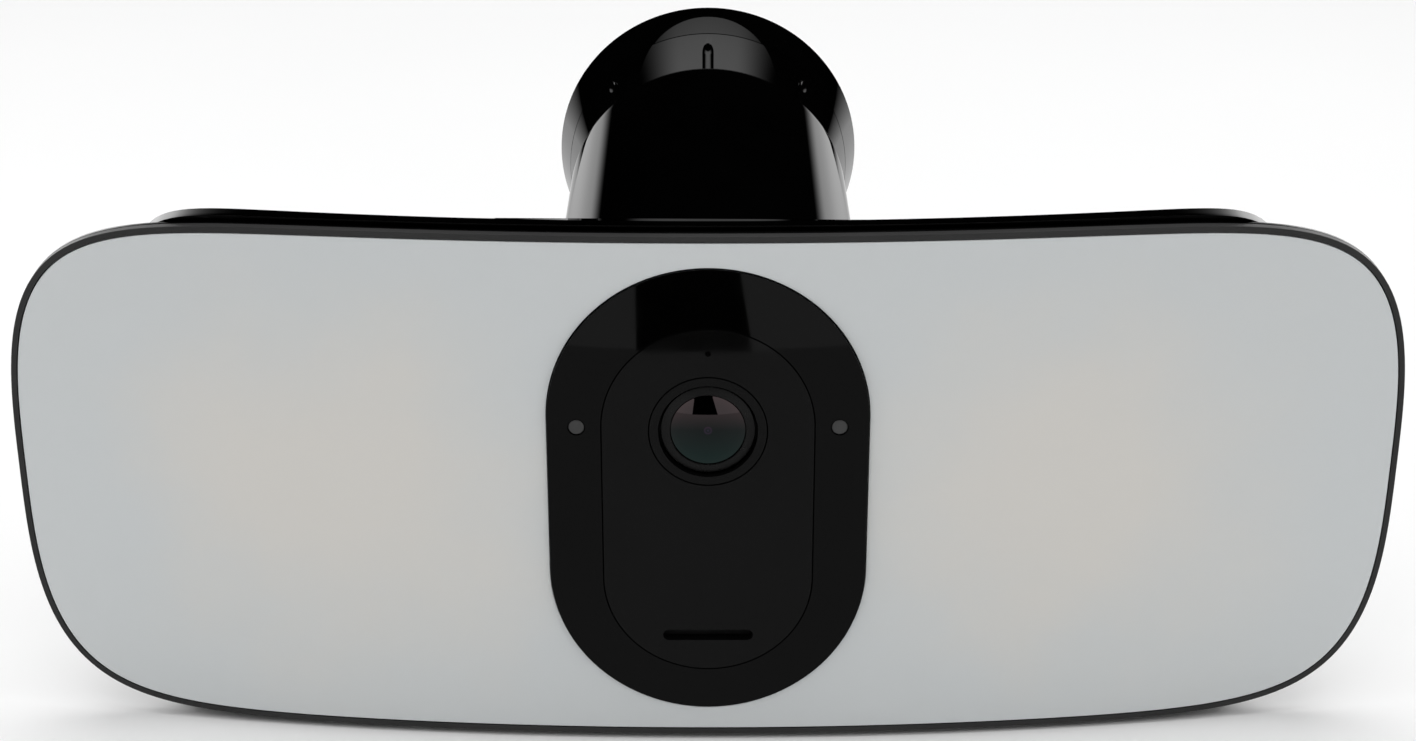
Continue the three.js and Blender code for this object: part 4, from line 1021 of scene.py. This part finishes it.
def ballAndLiner():
    first, last = mount["linerAngles"]
    inner = mount["ball"] + mount["clearance"]
    outer = inner + mount["liner"]
    arc = [polar(outer, lerp(first, last, i / 16)) for i in range(17)]
    arc += [polar(inner, lerp(last, first, i / 16)) for i in range(17)]
    standFor(meshObject("socketLiner", turned(arc, 128), wallOrigin), "socket_liner")
    low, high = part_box("ball_stud")
    tip = low.y / mm
    stem = math.degrees(math.asin(mount["stud"] / mount["ball"]))
    ball = [polar(mount["ball"], lerp(180, stem, i / 40)) for i in range(41)]
    ball[0] = (0, ball[0][1])
    rear = headOrigin.y / mm + neck["bulkhead"] + neck["bulkheadDepth"]
    profile = ball + [
        (mount["stud"], -mount["ballAt"] - mount["ball"] - 4), (mount["stud"] + 3.6, rear + 3.2),
        (mount["stud"] + 4, rear + 2.8), (mount["stud"] + 4, rear + 0.3), (mount["thread"], rear + 0.3),
        (mount["thread"], tip + 0.6), (mount["thread"] - 0.6, tip), (0, tip),
    ]
    standFor(meshObject("ballStud", turned(profile, 128), wallOrigin), "ball_stud")


mountBase()
lockRing()
wallPlate()
ballAndLiner()
print("mount done")


# Studio

studio = {
    "white": 1.0, "reflected": 0.25, "wall": 1.8, "strip": 0.85, "bounce": 0.23, "key": 7, "top": 40,
    "sides": 4.5, "fill": 4, "unlit": 0.0004, "nearFloor": 0.16, "shade": 0.78, "shadeSlope": 0.62,
    "shadeEdge": (0.0365, 0.0472), "shadeTop": 0.052, "behindWall": 0.005,
}
lowest = min(corner[2] for corner in cadBox)
floorZ = lowest - 0.0004


# A card that only mirrors see; its brightness is one value, or a function of its shader tree.
def mirrorCard(name, corners, brightness):
    bm = bmesh.new()
    bm.faces.new([bm.verts.new(corner) for corner in corners])
    card = linked(name, bm)
    material = bpy.data.materials.new(name)
    material.use_nodes = True
    tree = material.node_tree
    tree.nodes.clear()
    glow = addNode(tree, "ShaderNodeEmission")
    out = addNode(tree, "ShaderNodeOutputMaterial")
    tree.links.new(glow.outputs["Emission"], out.inputs["Surface"])
    if callable(brightness):
        tree.links.new(brightness(tree), glow.inputs["Strength"])
    else:
        glow.inputs["Strength"].default_value = brightness
    card.data.materials.append(material)
    card.visible_camera = False
    card.visible_diffuse = False
    card.visible_shadow = False
    card.visible_transmission = False
    return card


# Bright at the foot of the card and dark above, with a border that falls towards both sides.
def shadeWithHeight(tree):
    parts, side = splitOn(tree, addNode(tree, "ShaderNodeTexCoord").outputs["Object"])
    slanted = addNode(tree, "ShaderNodeMath", operation="MULTIPLY_ADD")
    slanted.inputs[1].default_value = studio["shadeSlope"]
    tree.links.new(side, slanted.inputs[0])
    tree.links.new(parts["Z"], slanted.inputs[2])
    return rangeOn(tree, slanted.outputs["Value"], studio["shade"], studio["unlit"], *studio["shadeEdge"])


def paleFloor():
    bm = bmesh.new()
    bmesh.ops.create_grid(bm, x_segments=1, y_segments=1, size=4)
    bmesh.ops.translate(bm, vec=(0, 0, floorZ), verts=bm.verts)
    floor = linked("paleFloor", bm)
    material, tree, shader, coords = newMaterial("floorPaint")
    tree.links.new(rampOn(tree, noiseOn(tree, coords, 2), [(0.3, greys(0.88)), (0.7, greys(0.9))]),
                   shader.inputs["Base Color"])
    shader.inputs["Roughness"].default_value = 0.9
    shader.inputs["Specular IOR Level"].default_value = 0.0
    floor.data.materials.append(material)
    floor.visible_glossy = False


def softbox(name, place, aim, size, energy):
    light = bpy.data.lights.new(name, "AREA")
    light.shape = "RECTANGLE"
    light.size, light.size_y = size
    light.energy = energy
    lamp = bpy.data.objects.new(name, light)
    lamp.location = place
    lamp.rotation_euler = (Vector(aim) - Vector(place)).to_track_quat("-Z", "Y").to_euler()
    lamp.visible_glossy = False
    lamp.visible_camera = False
    bpy.context.scene.collection.objects.link(lamp)


# What a mirror sees: a dark room with a low bright wall round the back, a strip lamp over it and a dim
# front.
def mirroredRoom(tree):
    parts, side = splitOn(tree, addNode(tree, "ShaderNodeTexCoord").outputs["Generated"])

    def step(source, start, end, top=1.0):
        fade = addNode(tree, "ShaderNodeMapRange", interpolation_type="SMOOTHSTEP")
        fade.inputs["From Min"].default_value = start
        fade.inputs["From Max"].default_value = end
        fade.inputs["To Max"].default_value = top
        tree.links.new(source, fade.inputs["Value"])
        return fade.outputs["Result"]

    def combined(operation, *sources):
        total = sources[0]
        for source in sources[1:]:
            node = addNode(tree, "ShaderNodeMath", operation=operation)
            tree.links.new(total, node.inputs[0])
            tree.links.new(source, node.inputs[1])
            total = node.outputs["Value"]
        return total

    height, depth = parts["Z"], parts["Y"]
    wall = combined("MULTIPLY", step(height, 0.34, 0.18, studio["wall"]), step(depth, 0.3, 0.55),
                    step(height, -0.5, 0.05))
    strip = combined("MULTIPLY", step(depth, 0.765, 0.715, studio["strip"]), step(depth, 0.58, 0.64),
                     step(side, 0.5, 0.2), step(height, 0.3, 0.5))
    front = combined("MULTIPLY", step(height, 0.05, -0.05, studio["reflected"]), step(depth, 0.1, -0.1))
    return combined("ADD", wall, strip, front)


def world():
    sky = bpy.data.worlds.new("studio")
    sky.use_nodes = True
    tree = sky.node_tree
    tree.nodes.clear()
    path = addNode(tree, "ShaderNodeLightPath")
    shades = {}
    for word, value in (("seen", studio["white"]), ("mirrored", 1), ("soft", studio["bounce"])):
        shades[word] = addNode(tree, "ShaderNodeBackground")
        shades[word].inputs["Color"].default_value = (1, 1, 1, 1)
        shades[word].inputs["Strength"].default_value = value
    tree.links.new(mirroredRoom(tree), shades["mirrored"].inputs["Strength"])
    first = addNode(tree, "ShaderNodeMixShader")
    second = addNode(tree, "ShaderNodeMixShader")
    out = addNode(tree, "ShaderNodeOutputWorld")
    tree.links.new(path.outputs["Is Glossy Ray"], first.inputs["Fac"])
    tree.links.new(shades["soft"].outputs["Background"], first.inputs[1])
    tree.links.new(shades["mirrored"].outputs["Background"], first.inputs[2])
    tree.links.new(path.outputs["Is Camera Ray"], second.inputs["Fac"])
    tree.links.new(first.outputs["Shader"], second.inputs[1])
    tree.links.new(shades["seen"].outputs["Background"], second.inputs[2])
    tree.links.new(second.outputs["Shader"], out.inputs["Surface"])
    bpy.context.scene.world = sky


def viewCamera():
    optics = bpy.data.cameras.new("view")
    optics.sensor_width = 36
    optics.lens = 64.42
    camera = bpy.data.objects.new("view", optics)
    camera.location = (0, -0.7148, 0.2466)
    camera.rotation_euler = (math.radians(65.98), 0, 0)
    bpy.context.scene.collection.objects.link(camera)
    bpy.context.scene.camera = camera


paleFloor()
world()
viewCamera()
nearEdge = headOrigin.y - 0.2685
farEdge = nearEdge - 0.3
unlit, wallSide, shadeTop = studio["unlit"], studio["behindWall"], studio["shadeTop"]
curve = [(x / 50, nearEdge - 2.3 * (x / 50) ** 2, floorZ) for x in range(-6, 7)]
mirrorCard("nearFloor", [(2, 0.02, floorZ), (-2, 0.02, floorZ), (-2, curve[0][1], floorZ)] + curve
           + [(2, curve[-1][1], floorZ)], studio["nearFloor"])
above = floorZ + 1e-5
mirrorCard("darkGap", [(-0.0385, farEdge, floorZ), (0.004, farEdge, floorZ), (0.0165, nearEdge, above),
                       (-0.0265, nearEdge, above)], unlit)
for label, low, high, foot, light in (("leftShade", -0.064, -0.034, -0.06, shadeWithHeight),
                                      ("middleShade", -0.034, 0.034, 0, unlit),
                                      ("rightShade", 0.034, 0.064, -0.06, shadeWithHeight)):
    mirrorCard(label, [(low, wallSide, foot), (high, wallSide, foot), (high, wallSide, shadeTop),
                       (low, wallSide, shadeTop)], light)
softbox("topBox", (0, 0.35, 1.9), (0, 0.2, 0), (2.6, 1.8), studio["top"])
softbox("keyBox", (0, -1.1, 1.5), (0, -0.1, -0.05), (1.6, 1.0), studio["key"])
softbox("leftBox", (-1.5, -0.3, 0.6), (0, -0.1, -0.05), (1.2, 1.2), studio["sides"])
softbox("rightBox", (1.5, -0.3, 0.6), (0, -0.1, -0.05), (1.2, 1.2), studio["sides"])
softbox("frontFill", (0, -2.2, 0.15), (0, -0.1, -0.05), (2.0, 1.0), studio["fill"])

scene = bpy.context.scene
scene.view_settings.view_transform = "Standard"
scene.view_settings.look = "None"

print("studio done")
